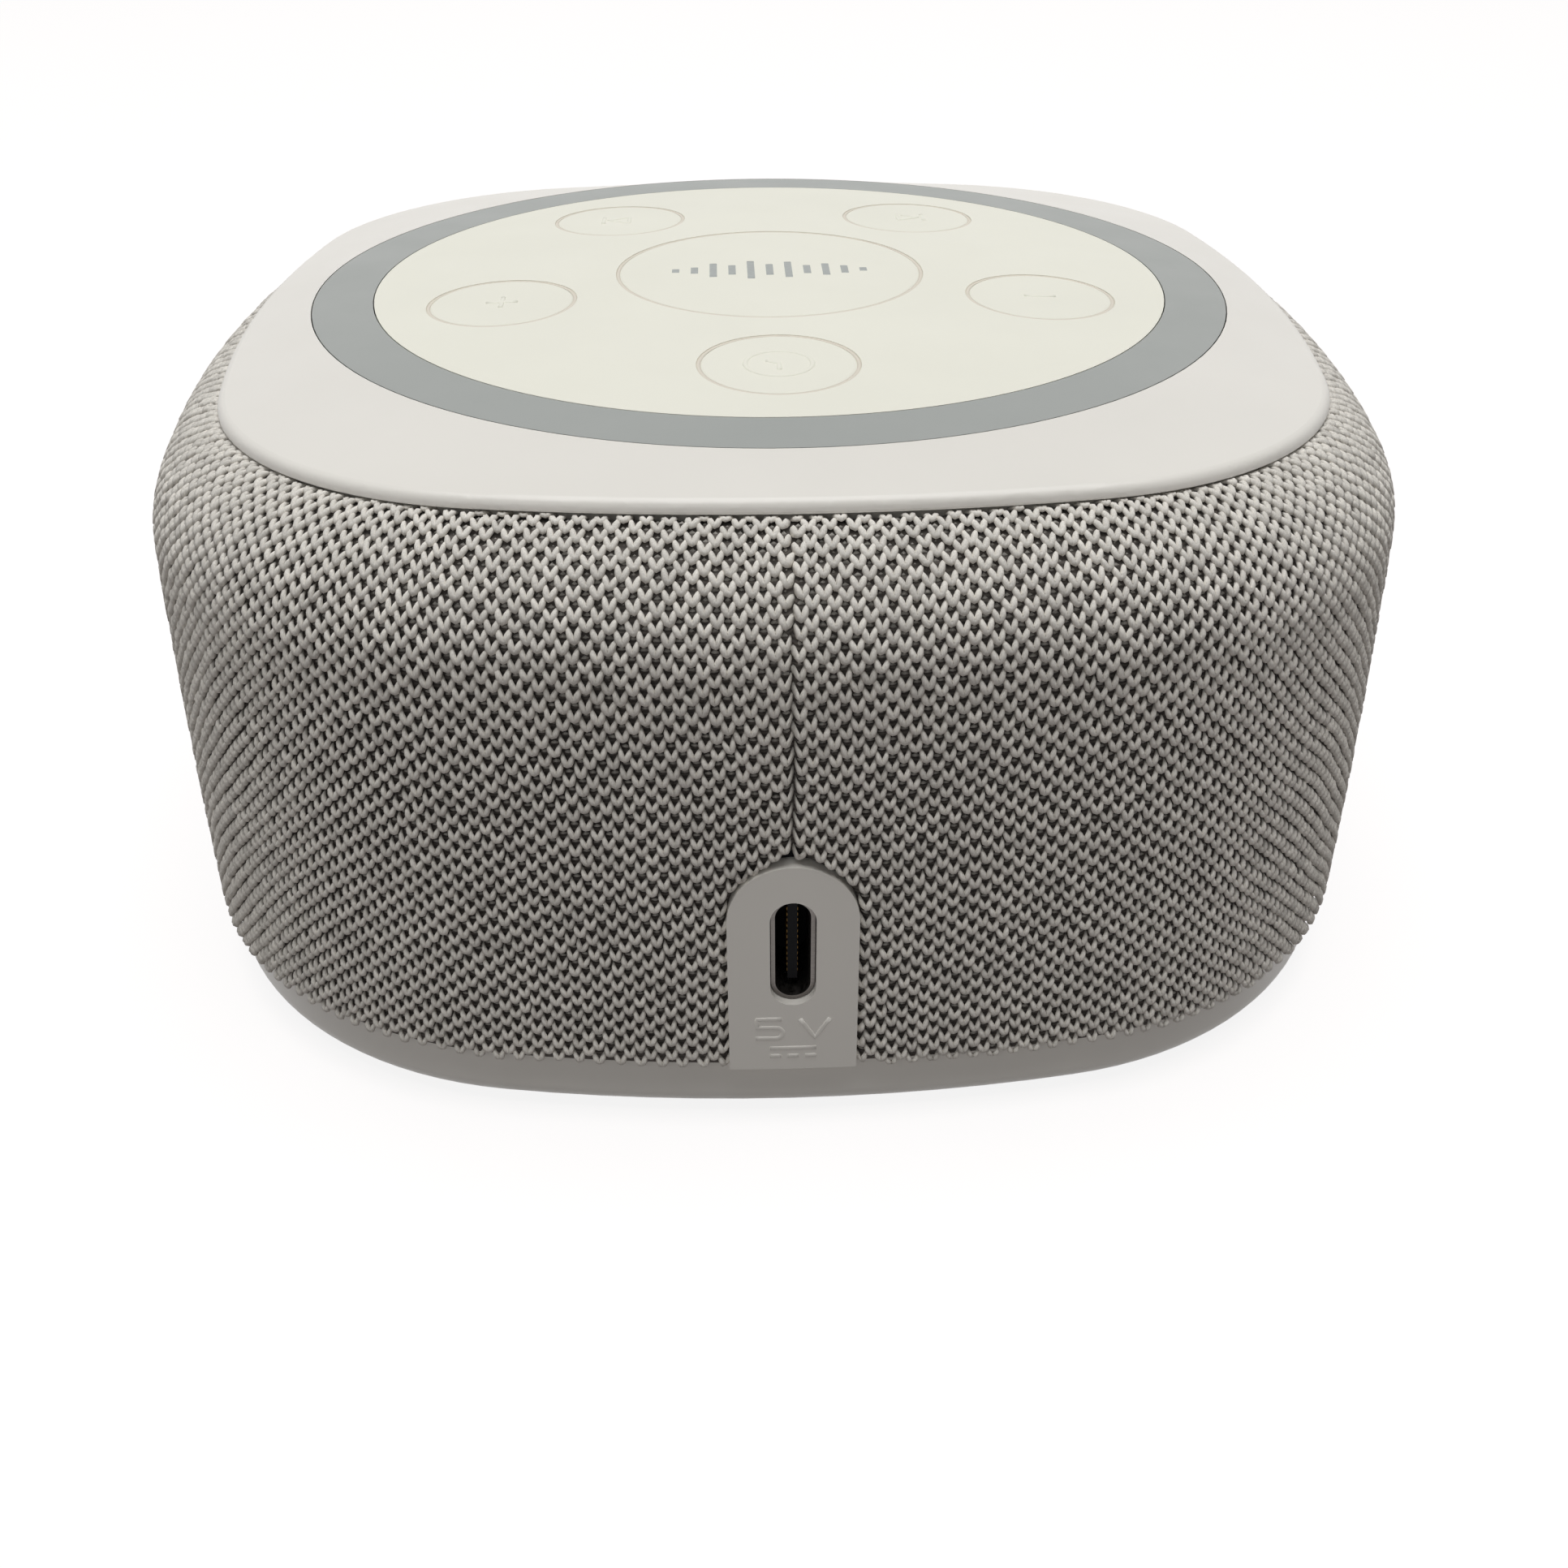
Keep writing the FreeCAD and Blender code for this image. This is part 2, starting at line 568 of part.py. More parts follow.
def housing_corner(x, y):
    """Boss for a case screw, webbed to the wall, and the lug that a cap screw passes through."""
    turn = math.degrees(math.atan2(y, x))
    reach = math.hypot(x, y)
    boss = rod(reach, 0, RIM_TOP_Z + FIT_GAP, DECK_Z, BOSS_RADIUS)
    web_z = RIM_TOP_Z + BASE_SPIGOT_HEIGHT + FIT_GAP
    web = box((reach, -WEB_WIDTH / 2, web_z), (BODY_WIDTH, WEB_WIDTH / 2, DECK_Z))
    lug = box((CAP_SCREW_DIAGONAL - LUG_WIDTH / 2, -LUG_WIDTH / 2, LUG_TOP_Z - LUG_THICKNESS),
              (BODY_WIDTH, LUG_WIDTH / 2, LUG_TOP_Z))
    return [piece.rotated(vec(0, 0, 0), vec(0, 0, 1), turn) for piece in (boss, web, lug)]


def inner_housing():
    wall = skin(HOUSING_INSET, HOUSING_INNER_INSET, CAP_ANGLE)
    ledge = plan_ring(LEDGE_OUTER_HALF, LEDGE_INNER_HALF, LEDGE_TOP_Z - LEDGE_THICKNESS, LEDGE_TOP_Z)
    overlap = HOUSING_WALL / 2
    deck = plan_prism(wall_x(DECK_TOP_Z, HOUSING_INSET + overlap), DECK_Z, DECK_TOP_Z)
    fittings = []
    for x, y in corner_places(FOOT_DIAGONAL):
        fittings += housing_corner(x, y)
    fill = core(HOUSING_INSET + overlap)
    fittings = [piece.common(fill) for piece in fittings]
    speaker_bosses = [
        rod(x, y, DECK_TOP_Z, DECK_TOP_Z + DECK_THICKNESS, SMALL_SCREW[1])
        for x, y in speaker_screw_places()
    ]
    body = merged([wall, ledge, deck] + fittings + speaker_bosses)
    holes = sound_slots()
    holes.append(rod(0, SPEAKER_Y, DECK_Z - PAST, DECK_TOP_Z + PAST, SURROUND_OUTER_RADIUS))
    ribbon_slot = (RIBBON_SOCKET[0] + 2 * RIBBON_SLOT_GAP, RIBBON_SOCKET[1], DECK_THICKNESS + 2 * PAST)
    holes.append(block(RIBBON_X, RIBBON_Y, DECK_Z - PAST, ribbon_slot))
    holes.append(plate_opening(FIT_GAP))
    pilot = CASE_SCREW[0] + SCREW_FIT
    for x, y in corner_places(FOOT_DIAGONAL):
        holes.append(rod(x, y, RIM_TOP_Z - PAST, RIM_TOP_Z + CASE_SCREW_LENGTH, pilot))
    small_pilot = SMALL_SCREW[0] + SCREW_FIT
    for x, y in corner_places(CAP_SCREW_DIAGONAL):
        holes.append(rod(x, y, LUG_TOP_Z - LUG_THICKNESS - PAST, LUG_TOP_Z + PAST, small_pilot))
    for x, y in speaker_screw_places():
        holes.append(rod(x, y, DECK_Z - PAST, DECK_TOP_Z + DECK_THICKNESS + PAST, small_pilot))
    return without(body, holes)


def base_shell():
    tray = plan_prism(BODY_HALF - RIM_INSET, BASE_Z, RIM_TOP_Z)
    lower = [e for e in tray.Edges if e.BoundBox.ZMax < BASE_Z + TOLERANCE]
    tray = tray.makeFillet(min(RIM_EDGE_RADIUS, BASE_FLOOR), lower)
    spigot = plan_prism(BODY_HALF - BASE_SPIGOT_INSET, RIM_TOP_Z, RIM_TOP_Z + BASE_SPIGOT_HEIGHT)
    cavity = plan_prism(BODY_HALF - CAVITY_INSET, FLOOR_Z, RIM_TOP_Z + BASE_SPIGOT_HEIGHT)
    shell = merged([tray, spigot]).cut(cavity)
    post_z = BASE_Z + FOOT_RECESS
    posts = [rod(x, y, post_z, RIM_TOP_Z, BOSS_RADIUS) for x, y in corner_places(FOOT_DIAGONAL)]
    posts += [rod(x, y, post_z, MAIN_BOARD_Z, STANDOFF_RADIUS) for x, y in board_screw_places()]
    shell = merged([shell] + posts)
    holes = [block(0, 0, BASE_Z - PAST, (LABEL_LENGTH, LABEL_WIDTH, LABEL_DEPTH + PAST))]
    shank, head, head_height = CASE_SCREW
    for x, y in corner_places(FOOT_DIAGONAL):
        holes.append(rod(x, y, BASE_Z - PAST, BASE_Z + FOOT_RECESS, FOOT_RADIUS + FIT_GAP))
        holes.append(rod(x, y, BASE_Z, BASE_Z + FOOT_RECESS + head_height + SEAT_GAP, head + FIT_GAP))
        holes.append(rod(x, y, BASE_Z, RIM_TOP_Z + PAST, shank + SCREW_FIT))
    tip_z = MAIN_TOP_Z - SMALL_SCREW_LENGTH - SEAT_GAP
    for x, y in board_screw_places():
        holes.append(rod(x, y, tip_z, MAIN_TOP_Z, SMALL_SCREW[0] + SCREW_FIT))
    notch_half = PLATE_WIDTH / 2 + PLATE_FLANGE_WIDTH + FIT_GAP
    notch_top_z = RIM_TOP_Z + BASE_SPIGOT_HEIGHT + PAST
    holes.append(box((-notch_half, 0, RIM_TOP_Z), (notch_half, BODY_HALF, notch_top_z)))
    return without(shell, holes)


def rubber_feet():
    feet = []
    for x, y in corner_places(FOOT_DIAGONAL):
        foot = rod(x, y, 0, FOOT_PROUD + FOOT_RECESS, FOOT_RADIUS)
        lower = [e for e in foot.Edges if e.BoundBox.ZMax < TOLERANCE]
        feet.append(foot.makeFillet(min(FOOT_EDGE_RADIUS, FOOT_PROUD / 2), lower))
    return feet


def case_screws():
    seat_z = BASE_Z + FOOT_RECESS + CASE_SCREW[2] + SEAT_GAP
    return [screw(x, y, seat_z, CASE_SCREW_LENGTH, CASE_SCREW) for x, y in corner_places(FOOT_DIAGONAL)]


# Cap, ring and panel


def top_cap():
    cap = brim(CAP_EDGE_Z, 0)
    lip_z = CAP_EDGE_Z + CAP_LIP_HEIGHT
    lip = [e for e in cap.Edges if abs(e.BoundBox.ZMin - lip_z) + e.BoundBox.ZLength < TOLERANCE]
    cap = cap.makeFillet(LIP_RADIUS, lip)
    inside = plan_prism(CAP_HALF - CAP_WALL, CAP_EDGE_Z - PAST, TOP_Z)
    cap = cap.cut(inside.common(dome(CAP_WALL)).common(brim(CAP_EDGE_Z - 2 * PAST, CAP_BRIM_WALL)))
    under = dome(CAP_WALL / 2).common(brim(CONTROL_BOTTOM_Z, CAP_BRIM_WALL / 2))
    spigot = plan_ring(SPIGOT_OUTER_HALF, LEDGE_INNER_HALF, LEDGE_TOP_Z + SEAT_GAP, TOP_Z).common(under)
    lug_seat_z = LUG_TOP_Z + SEAT_GAP
    board_seat_z = CONTROL_TOP_Z + SEAT_GAP
    bosses = [rod(x, y, lug_seat_z, TOP_Z, CAP_BOSS_RADIUS) for x, y in corner_places(CAP_SCREW_DIAGONAL)]
    bosses += [rod(x, y, board_seat_z, TOP_Z, CONTROL_BOSS_RADIUS) for x, y in control_screw_places()]
    cap = merged([cap, spigot] + [boss.common(under) for boss in bosses])
    pilot = SMALL_SCREW[0] + SCREW_FIT
    holes = [rod(0, 0, CONTROL_BOTTOM_Z, TOP_Z + PAST, RING_OUTER_RADIUS + PANEL_GAP)]
    cap_tip_z = LUG_TOP_Z - LUG_THICKNESS + SMALL_SCREW_LENGTH + SEAT_GAP
    holes += [rod(x, y, LUG_TOP_Z, cap_tip_z, pilot) for x, y in corner_places(CAP_SCREW_DIAGONAL)]
    board_tip_z = CONTROL_BOTTOM_Z + SMALL_SCREW_LENGTH + SEAT_GAP
    holes += [rod(x, y, CONTROL_TOP_Z, board_tip_z, pilot) for x, y in control_screw_places()]
    return without(cap, holes)


def cap_screws():
    seat_z = LUG_TOP_Z - LUG_THICKNESS
    places = corner_places(CAP_SCREW_DIAGONAL)
    return [screw(x, y, seat_z, SMALL_SCREW_LENGTH, SMALL_SCREW) for x, y in places]


def light_ring():
    ring = tube(0, 0, RING_FLANGE_TOP_Z, TOP_Z + PAST, RING_INNER_RADIUS, RING_OUTER_RADIUS).common(dome(0))
    flange_low_z = RING_FLANGE_TOP_Z - RING_FLANGE_THICKNESS
    inner = RING_INNER_RADIUS - RING_FLANGE_WIDTH
    flange = tube(0, 0, flange_low_z, RING_FLANGE_TOP_Z, inner, RING_FLANGE_RADIUS)
    return merged([ring, flange])


def light_baffle():
    middle = (RING_INNER_RADIUS + RING_OUTER_RADIUS) / 2
    floor_z = CONTROL_TOP_Z + BAFFLE_LIFT
    walls = [
        tube(0, 0, CONTROL_TOP_Z, BAFFLE_TOP_Z, BAFFLE_INNER_RADIUS, BAFFLE_INNER_RADIUS + BAFFLE_WALL),
        tube(0, 0, CONTROL_TOP_Z, BAFFLE_TOP_Z, BAFFLE_OUTER_RADIUS - BAFFLE_WALL, BAFFLE_OUTER_RADIUS),
        tube(0, 0, floor_z, floor_z + BAFFLE_FLOOR, BAFFLE_INNER_RADIUS, BAFFLE_OUTER_RADIUS),
    ]
    places = ring_places(LED_COUNT, middle, REAR_ANGLE)
    holes = [rod(x, y, CONTROL_TOP_Z, BAFFLE_TOP_Z, BAFFLE_HOLE_RADIUS) for x, y in places]
    return without(merged(walls), holes)


def control_panel():
    disc = rod(0, 0, PANEL_Z, TOP_Z + PAST, PANEL_RADIUS).common(dome(0))
    skirt_outer = BAFFLE_INNER_RADIUS - PANEL_GAP
    skirt_inner = skirt_outer - PANEL_SKIRT_THICKNESS
    skirt = tube(0, 0, PANEL_Z - PANEL_SKIRT_DEPTH, PANEL_Z, skirt_inner, skirt_outer)
    panel = merged([disc, skirt])
    holes = []
    for x, y, radius in key_places().values():
        holes.append(rod(x, y, PANEL_Z - PAST, TOP_Z + PAST, radius + KEY_GAP))
    return without(panel, holes)


# Buttons and switches


def keycap(x, y, radius):
    cap = rod(x, y, KEY_SKIRT_Z, TOP_Z + PAST, radius).common(dome(0))
    top = [e for e in cap.Edges if e.BoundBox.ZMin > PANEL_Z and e.BoundBox.DiagonalLength > radius]
    cap = cap.makeFillet(KEY_EDGE_RADIUS, top)
    flange = rod(x, y, KEY_SKIRT_Z, KEY_FLANGE_TOP_Z, radius + KEY_FLANGE_WIDTH)
    hollow = rod(x, y, KEY_SKIRT_Z, TOP_Z + PAST, radius - KEY_WALL).common(dome(KEY_WALL))
    shell = merged([cap, flange]).cut(hollow)
    stem = rod(x, y, PLUNGER_TOP_Z, TOP_Z, KEY_STEM_RADIUS).common(dome(KEY_WALL / 2))
    return merged([shell, stem])


def plunger(x, y):
    rest_z = CONTROL_TOP_Z + SWITCH_FLOOR + KEY_TRAVEL + FIT_GAP
    return rod(x, y, rest_z, PLUNGER_TOP_Z, PLUNGER_RADIUS)


def switch_housings():
    housings = []
    for x, y, _ in key_places().values():
        body = block(x, y, CONTROL_TOP_Z, (SWITCH_WIDTH, SWITCH_WIDTH, SWITCH_HEIGHT))
        bore = rod(x, y, CONTROL_TOP_Z + SWITCH_FLOOR, SWITCH_TOP_Z + PAST, PLUNGER_RADIUS + PLUNGER_FIT)
        housings.append(body.cut(bore))
    return housings


# Socket on the rear wall


def socket_face_y():
    return wall_x(SOCKET_Z, PLATE_INSET)


def flange_front_y():
    """Front of the plate's flange, just inside the housing's wall."""
    return wall_x(PLATE_TOP_Z + PLATE_FLANGE_WIDTH, HOUSING_INNER_INSET) - FIT_GAP


def port_plate():
    front_y = flange_front_y()
    plate = arch(PLATE_WIDTH / 2, front_y, BODY_HALF, RIM_TOP_Z, PLATE_TOP_Z).common(core(PLATE_INSET))
    flange_half = PLATE_WIDTH / 2 + PLATE_FLANGE_WIDTH
    flange_top_z = PLATE_TOP_Z + PLATE_FLANGE_WIDTH
    flange = arch(flange_half, front_y - PLATE_FLANGE_DEPTH, front_y, RIM_TOP_Z, flange_top_z)
    width = SOCKET_THICKNESS + 2 * SOCKET_GAP
    height = SOCKET_WIDTH + 2 * SOCKET_GAP
    return without(merged([plate, flange]), [stadium(width, height, 0, BODY_WIDTH, SOCKET_Z)])


def usb_shell():
    low_y = socket_face_y() - SOCKET_RECESS - SOCKET_LENGTH
    outer = stadium(SOCKET_THICKNESS, SOCKET_WIDTH, low_y, SOCKET_LENGTH, SOCKET_Z)
    width = SOCKET_THICKNESS - 2 * SOCKET_WALL
    height = SOCKET_WIDTH - 2 * SOCKET_WALL
    return outer.cut(stadium(width, height, low_y - PAST, SOCKET_LENGTH + 2 * PAST, SOCKET_Z))


def usb_tongue():
    low_y = socket_face_y() - SOCKET_RECESS - SOCKET_LENGTH
    width = SOCKET_THICKNESS - 2 * SOCKET_WALL - 2 * SCREW_FIT
    height = SOCKET_WIDTH - 2 * SOCKET_WALL - 2 * SCREW_FIT
    plug_length = SOCKET_LENGTH - TONGUE_LENGTH - TONGUE_SETBACK
    back = stadium(width, height, low_y, plug_length, SOCKET_Z)
    half = TONGUE_THICKNESS / 2
    blade = box((-half, low_y, SOCKET_Z - TONGUE_WIDTH / 2),
                (half, low_y + plug_length + TONGUE_LENGTH, SOCKET_Z + TONGUE_WIDTH / 2))
    return merged([back, blade])


def usb_contacts():
    tip_y = socket_face_y() - SOCKET_RECESS - TONGUE_SETBACK - CONTACT_WIDTH
    half = TONGUE_THICKNESS / 2
    contacts = []
    for i in range(CONTACTS_PER_FACE):
        z = SOCKET_Z + (i - (CONTACTS_PER_FACE - 1) / 2) * CONTACT_PITCH
        for side in (-1, 1):
            near, far = sorted((side * half, side * (half + CONTACT_THICKNESS)))
            contacts.append(box((near, tip_y - CONTACT_LENGTH, z - CONTACT_WIDTH / 2),
                                (far, tip_y, z + CONTACT_WIDTH / 2)))
    return contacts


# Boards


def board_screw_places():
    x = MAIN_BOARD_LENGTH / 2 - BOARD_SCREW_INSET
    rows = (MAIN_BOARD_FRONT_Y + BOARD_SCREW_INSET, MAIN_BOARD_REAR_Y - BOARD_SCREW_INSET)
    return [(side * x, y) for side in (-1, 1) for y in rows]


def main_board():
    half = MAIN_BOARD_LENGTH / 2
    board = box((-half, MAIN_BOARD_FRONT_Y, MAIN_BOARD_Z), (half, MAIN_BOARD_REAR_Y, MAIN_TOP_Z))
    hole_radius = SMALL_SCREW[0] + SCREW_FIT
    holes = [
        rod(x, y, MAIN_BOARD_Z - PAST, MAIN_TOP_Z + PAST, hole_radius) for x, y in board_screw_places()
    ]
    return without(board, holes)


def main_board_screws():
    places = board_screw_places()
    return [screw(x, y, MAIN_TOP_Z, SMALL_SCREW_LENGTH, SMALL_SCREW, up=False) for x, y in places]


def port_board_x():
    return SOCKET_THICKNESS / 2 + SEAT_GAP


def port_board_end_y():
    return flange_front_y() - PLATE_FLANGE_DEPTH - FIT_GAP


def port_board():
    low_x = port_board_x()
    high_y = port_board_end_y()
    return box((low_x, high_y - PORT_BOARD_LENGTH, MAIN_TOP_Z),
               (low_x + PORT_BOARD_THICKNESS, high_y, MAIN_TOP_Z + PORT_BOARD_HEIGHT))


def board_header():
    """Angle header that carries the upright board on the main board."""
    x = port_board_x() + PORT_BOARD_THICKNESS + HEADER_SIZE[0] / 2
    y = port_board_end_y() - PORT_BOARD_LENGTH / 2
    return block(x, y, MAIN_TOP_Z, HEADER_SIZE)


def board_place(end, from_end, from_rear):
    """Point on the main board, measured from one end and from the rear edge."""
    return end * (MAIN_BOARD_LENGTH / 2 - from_end), MAIN_BOARD_REAR_Y - from_rear


def board_chips():
    chips = []
    for place, size in zip(CHIP_PLACES, CHIP_SIZES):
        x, y = board_place(*place)
        chips.append(block(x, y, MAIN_TOP_Z, size))
    return chips


def board_capacitors():
    places = [board_place(*place) for place in CAPACITOR_PLACES]
    return [rod(x, y, MAIN_TOP_Z, MAIN_TOP_Z + CAPACITOR_HEIGHT, CAPACITOR_RADIUS) for x, y in places]


def ribbon_sockets():
    lower = block(RIBBON_X, RIBBON_Y, MAIN_TOP_Z, RIBBON_SOCKET)
    upper = block(RIBBON_X, RIBBON_Y, CONTROL_BOTTOM_Z - RIBBON_SOCKET[2], RIBBON_SOCKET)
    return lower, upper


def ribbon_cable():
    low_z = MAIN_TOP_Z + RIBBON_SOCKET[2]
    high_z = CONTROL_BOTTOM_Z - RIBBON_SOCKET[2]
    return block(RIBBON_X, RIBBON_Y, low_z, (RIBBON_WIDTH, RIBBON_THICKNESS, high_z - low_z))


def terminal_y():
    """Front face of the speaker's terminal block, just behind the top plate."""
    return SPEAKER_Y + BASKET_FLOOR_RADIUS + FIT_GAP


def terminal_z():
    return TOP_PLATE_Z + SEAT_GAP


def speaker_terminal():
    y = terminal_y() + TERMINAL_SIZE[1] / 2
    return block(0, y, terminal_z(), TERMINAL_SIZE)


def speaker_socket():
    return block(0, SPEAKER_SOCKET_Y, MAIN_TOP_Z, SPEAKER_SOCKET)


def speaker_wires():
    """Two short leads from the terminal block down into their socket on the main board."""
    start_y = terminal_y() + TERMINAL_SIZE[1]
    start_z = terminal_z() + TERMINAL_SIZE[2] / 2
    end_z = MAIN_TOP_Z + SPEAKER_SOCKET[2]
    room = min(SPEAKER_SOCKET_Y - start_y, start_z - end_z)
    bend = min(WIRE_BEND_RADIUS, room * WIRE_BEND_SHARE)
    wires = []
    for side in (-1, 1):
        x = side * WIRE_SPACING / 2
        turn_y = SPEAKER_SOCKET_Y - bend
        turn_z = start_z - bend
        diagonal = bend * math.sqrt(0.5)
        points = [
            vec(x, start_y, start_z),
            vec(x, turn_y, start_z),
            vec(x, turn_y + diagonal, turn_z + diagonal),
            vec(x, SPEAKER_SOCKET_Y, turn_z),
            vec(x, SPEAKER_SOCKET_Y, end_z),
        ]
        path = Part.Wire([
            Part.LineSegment(points[0], points[1]).toShape(),
            Part.Arc(points[1], points[2], points[3]).toShape(),
            Part.LineSegment(points[3], points[4]).toShape(),
        ])
        ring = Part.Wire([Part.makeCircle(WIRE_RADIUS, points[0], vec(0, 1, 0))])
        wires.append(path.makePipeShell([ring], True, False))
    return wires


def control_board():
    board = rod(0, 0, CONTROL_BOTTOM_Z, CONTROL_TOP_Z, CONTROL_BOARD_RADIUS)
    places = control_screw_places()
    ears = [rod(x, y, CONTROL_BOTTOM_Z, CONTROL_TOP_Z, CONTROL_EAR_RADIUS) for x, y in places]
    hole_radius = SMALL_SCREW[0] + SCREW_FIT
    holes = [rod(x, y, CONTROL_BOTTOM_Z - PAST, CONTROL_TOP_Z + PAST, hole_radius) for x, y in places]
    return without(merged([board] + ears), holes)


def control_board_screws():
    places = control_screw_places()
    return [screw(x, y, CONTROL_BOTTOM_Z, SMALL_SCREW_LENGTH, SMALL_SCREW) for x, y in places]


def ring_leds():
    middle = (RING_INNER_RADIUS + RING_OUTER_RADIUS) / 2
    leds = []
    for i in range(LED_COUNT):
        led = block(middle, 0, CONTROL_TOP_Z, (LED_SIZE[1], LED_SIZE[0], LED_SIZE[2]))
        leds.append(led.rotated(vec(0, 0, 0), vec(0, 0, 1), REAR_ANGLE + 360.0 * i / LED_COUNT))
    return leds


# Loudspeaker


def speaker_gasket():
    ring = tube(0, SPEAKER_Y, GASKET_Z, DECK_Z, SURROUND_OUTER_RADIUS + FIT_GAP, SPEAKER_RADIUS)
    hole_radius = SMALL_SCREW[0] + SCREW_FIT
    return without(ring, [rod(x, y, GASKET_Z, DECK_Z, hole_radius) for x, y in speaker_screw_places()])


def speaker_basket():
    neck = MAGNET_BORE_RADIUS
    slope = SURROUND_OUTER_RADIUS - BASKET_SHEET
    profile = [
        (neck, BASKET_FLOOR_Z),
        (BASKET_FLOOR_RADIUS, BASKET_FLOOR_Z),
        (slope, SPEAKER_FLANGE_Z),
        (SPEAKER_RADIUS, SPEAKER_FLANGE_Z),
        (SPEAKER_RADIUS, GASKET_Z),
        (slope - BASKET_SHEET, GASKET_Z),
        (BASKET_FLOOR_RADIUS - BASKET_SHEET, BASKET_FLOOR_Z + BASKET_SHEET),
        (neck, BASKET_FLOOR_Z + BASKET_SHEET),
    ]
    basket = turned(profile, 0, SPEAKER_Y)
    window_z = BASKET_FLOOR_Z + BASKET_DEPTH / 2
    cutters = []
    for i in range(BASKET_WINDOWS):
        angle = math.radians(360.0 * (i + 0.5) / BASKET_WINDOWS)
        away = vec(math.cos(angle), math.sin(angle), 0)
        centre = vec(0, SPEAKER_Y, window_z)
        cutters.append(Part.makeCylinder(BASKET_WINDOW_RADIUS, SPEAKER_RADIUS, centre, away))
    hole_radius = SMALL_SCREW[0] + SCREW_FIT
    for x, y in speaker_screw_places():
        cutters.append(rod(x, y, SPEAKER_FLANGE_Z - PAST, GASKET_Z + PAST, hole_radius))
    return without(basket, cutters)


def speaker_screws():
    places = speaker_screw_places()
    return [screw(x, y, SPEAKER_FLANGE_Z, SMALL_SCREW_LENGTH, SMALL_SCREW) for x, y in places]


def speaker_top_plate():
    inner = COIL_OUTER_RADIUS + COIL_GAP
    return tube(0, SPEAKER_Y, TOP_PLATE_Z, BASKET_FLOOR_Z, inner, BASKET_FLOOR_RADIUS)


def speaker_magnet():
    return tube(0, SPEAKER_Y, MAGNET_Z, TOP_PLATE_Z, MAGNET_BORE_RADIUS, MAGNET_RADIUS)


def speaker_yoke():
    back = rod(0, SPEAKER_Y, YOKE_Z, MAGNET_Z, MAGNET_RADIUS - BASKET_SHEET)
    pole = rod(0, SPEAKER_Y, MAGNET_Z, BASKET_FLOOR_Z, POLE_RADIUS)
    return merged([back, pole])


def voice_coil():
    return tube(0, SPEAKER_Y, BASKET_FLOOR_Z - COIL_DEPTH, CONE_NECK_Z, COIL_INNER_RADIUS, COIL_OUTER_RADIUS)


def speaker_cone():
    rim = SURROUND_INNER_RADIUS
    neck = COIL_INNER_RADIUS
    drop = CONE_THICKNESS
    profile = [
        (neck, CONE_NECK_Z),
        (COIL_OUTER_RADIUS, CONE_NECK_Z),
        (rim, CONE_RIM_Z),
        (rim, CONE_RIM_Z + drop),
        (COIL_OUTER_RADIUS - drop / 2, CONE_NECK_Z + drop),
        (neck, CONE_NECK_Z + drop),
    ]
    return turned(profile, 0, SPEAKER_Y)


def cone_surface_z(radius):
    """Height of the cone's upper face at a radius."""
    share = (radius - COIL_OUTER_RADIUS) / (SURROUND_INNER_RADIUS - COIL_OUTER_RADIUS)
    return CONE_NECK_Z + CONE_THICKNESS + share * (CONE_RIM_Z - CONE_NECK_Z)


def dust_cap():
    """A shallow ball-shaped shell over the coil, glued to the cone."""
    foot_z = cone_surface_z(DUST_CAP_RADIUS) + FIT_GAP
    ball_radius = (DUST_CAP_RADIUS ** 2 + DUST_CAP_RISE ** 2) / (2 * DUST_CAP_RISE)
    centre = vec(0, SPEAKER_Y, foot_z + DUST_CAP_RISE - ball_radius)
    shell = Part.makeSphere(ball_radius, centre).cut(Part.makeSphere(ball_radius - SOFT_THICKNESS, centre))
    return shell.common(rod(0, SPEAKER_Y, foot_z, foot_z + 2 * DUST_CAP_RISE, DUST_CAP_RADIUS))


def speaker_surround():
    """Half roll between the cone's rim and the basket's flange."""
    low_z = GASKET_Z + SEAT_GAP
    inner = SURROUND_INNER_RADIUS + FIT_GAP
    outer = SURROUND_OUTER_RADIUS - FIT_GAP
    middle = (inner + outer) / 2
    crest_z = low_z + (outer - inner) / 2
    profile = [
        (inner - SURROUND_LIP, low_z),
        (inner + SOFT_THICKNESS, low_z),
        ((middle, crest_z - SOFT_THICKNESS), (outer - SOFT_THICKNESS, low_z)),
        (outer, low_z),
        ((middle, crest_z), (inner, low_z + SOFT_THICKNESS)),
        (inner - SURROUND_LIP, low_z + SOFT_THICKNESS),
    ]
    return turned(profile, 0, SPEAKER_Y)


def speaker_spider():
    """Waved ring that centres the coil over the basket's floor."""
    inner = COIL_OUTER_RADIUS + FIT_GAP
    base_z = BASKET_FLOOR_Z + BASKET_SHEET + SEAT_GAP
    step = (SPIDER_OUTER_RADIUS - inner) / SPIDER_WAVES
    lower = [(inner, base_z)]
    upper = []
    for i in range(SPIDER_WAVES):
        start = inner + i * step
        crest = (start + step / 2, base_z + SPIDER_WAVE_HEIGHT)
        lower += [crest, (start + step, base_z)]
        upper += [(start, base_z + SOFT_THICKNESS), (crest[0], crest[1] + SOFT_THICKNESS)]
    upper.append((SPIDER_OUTER_RADIUS, base_z + SOFT_THICKNESS))
    return turned(lower + upper[::-1], 0, SPEAKER_Y)


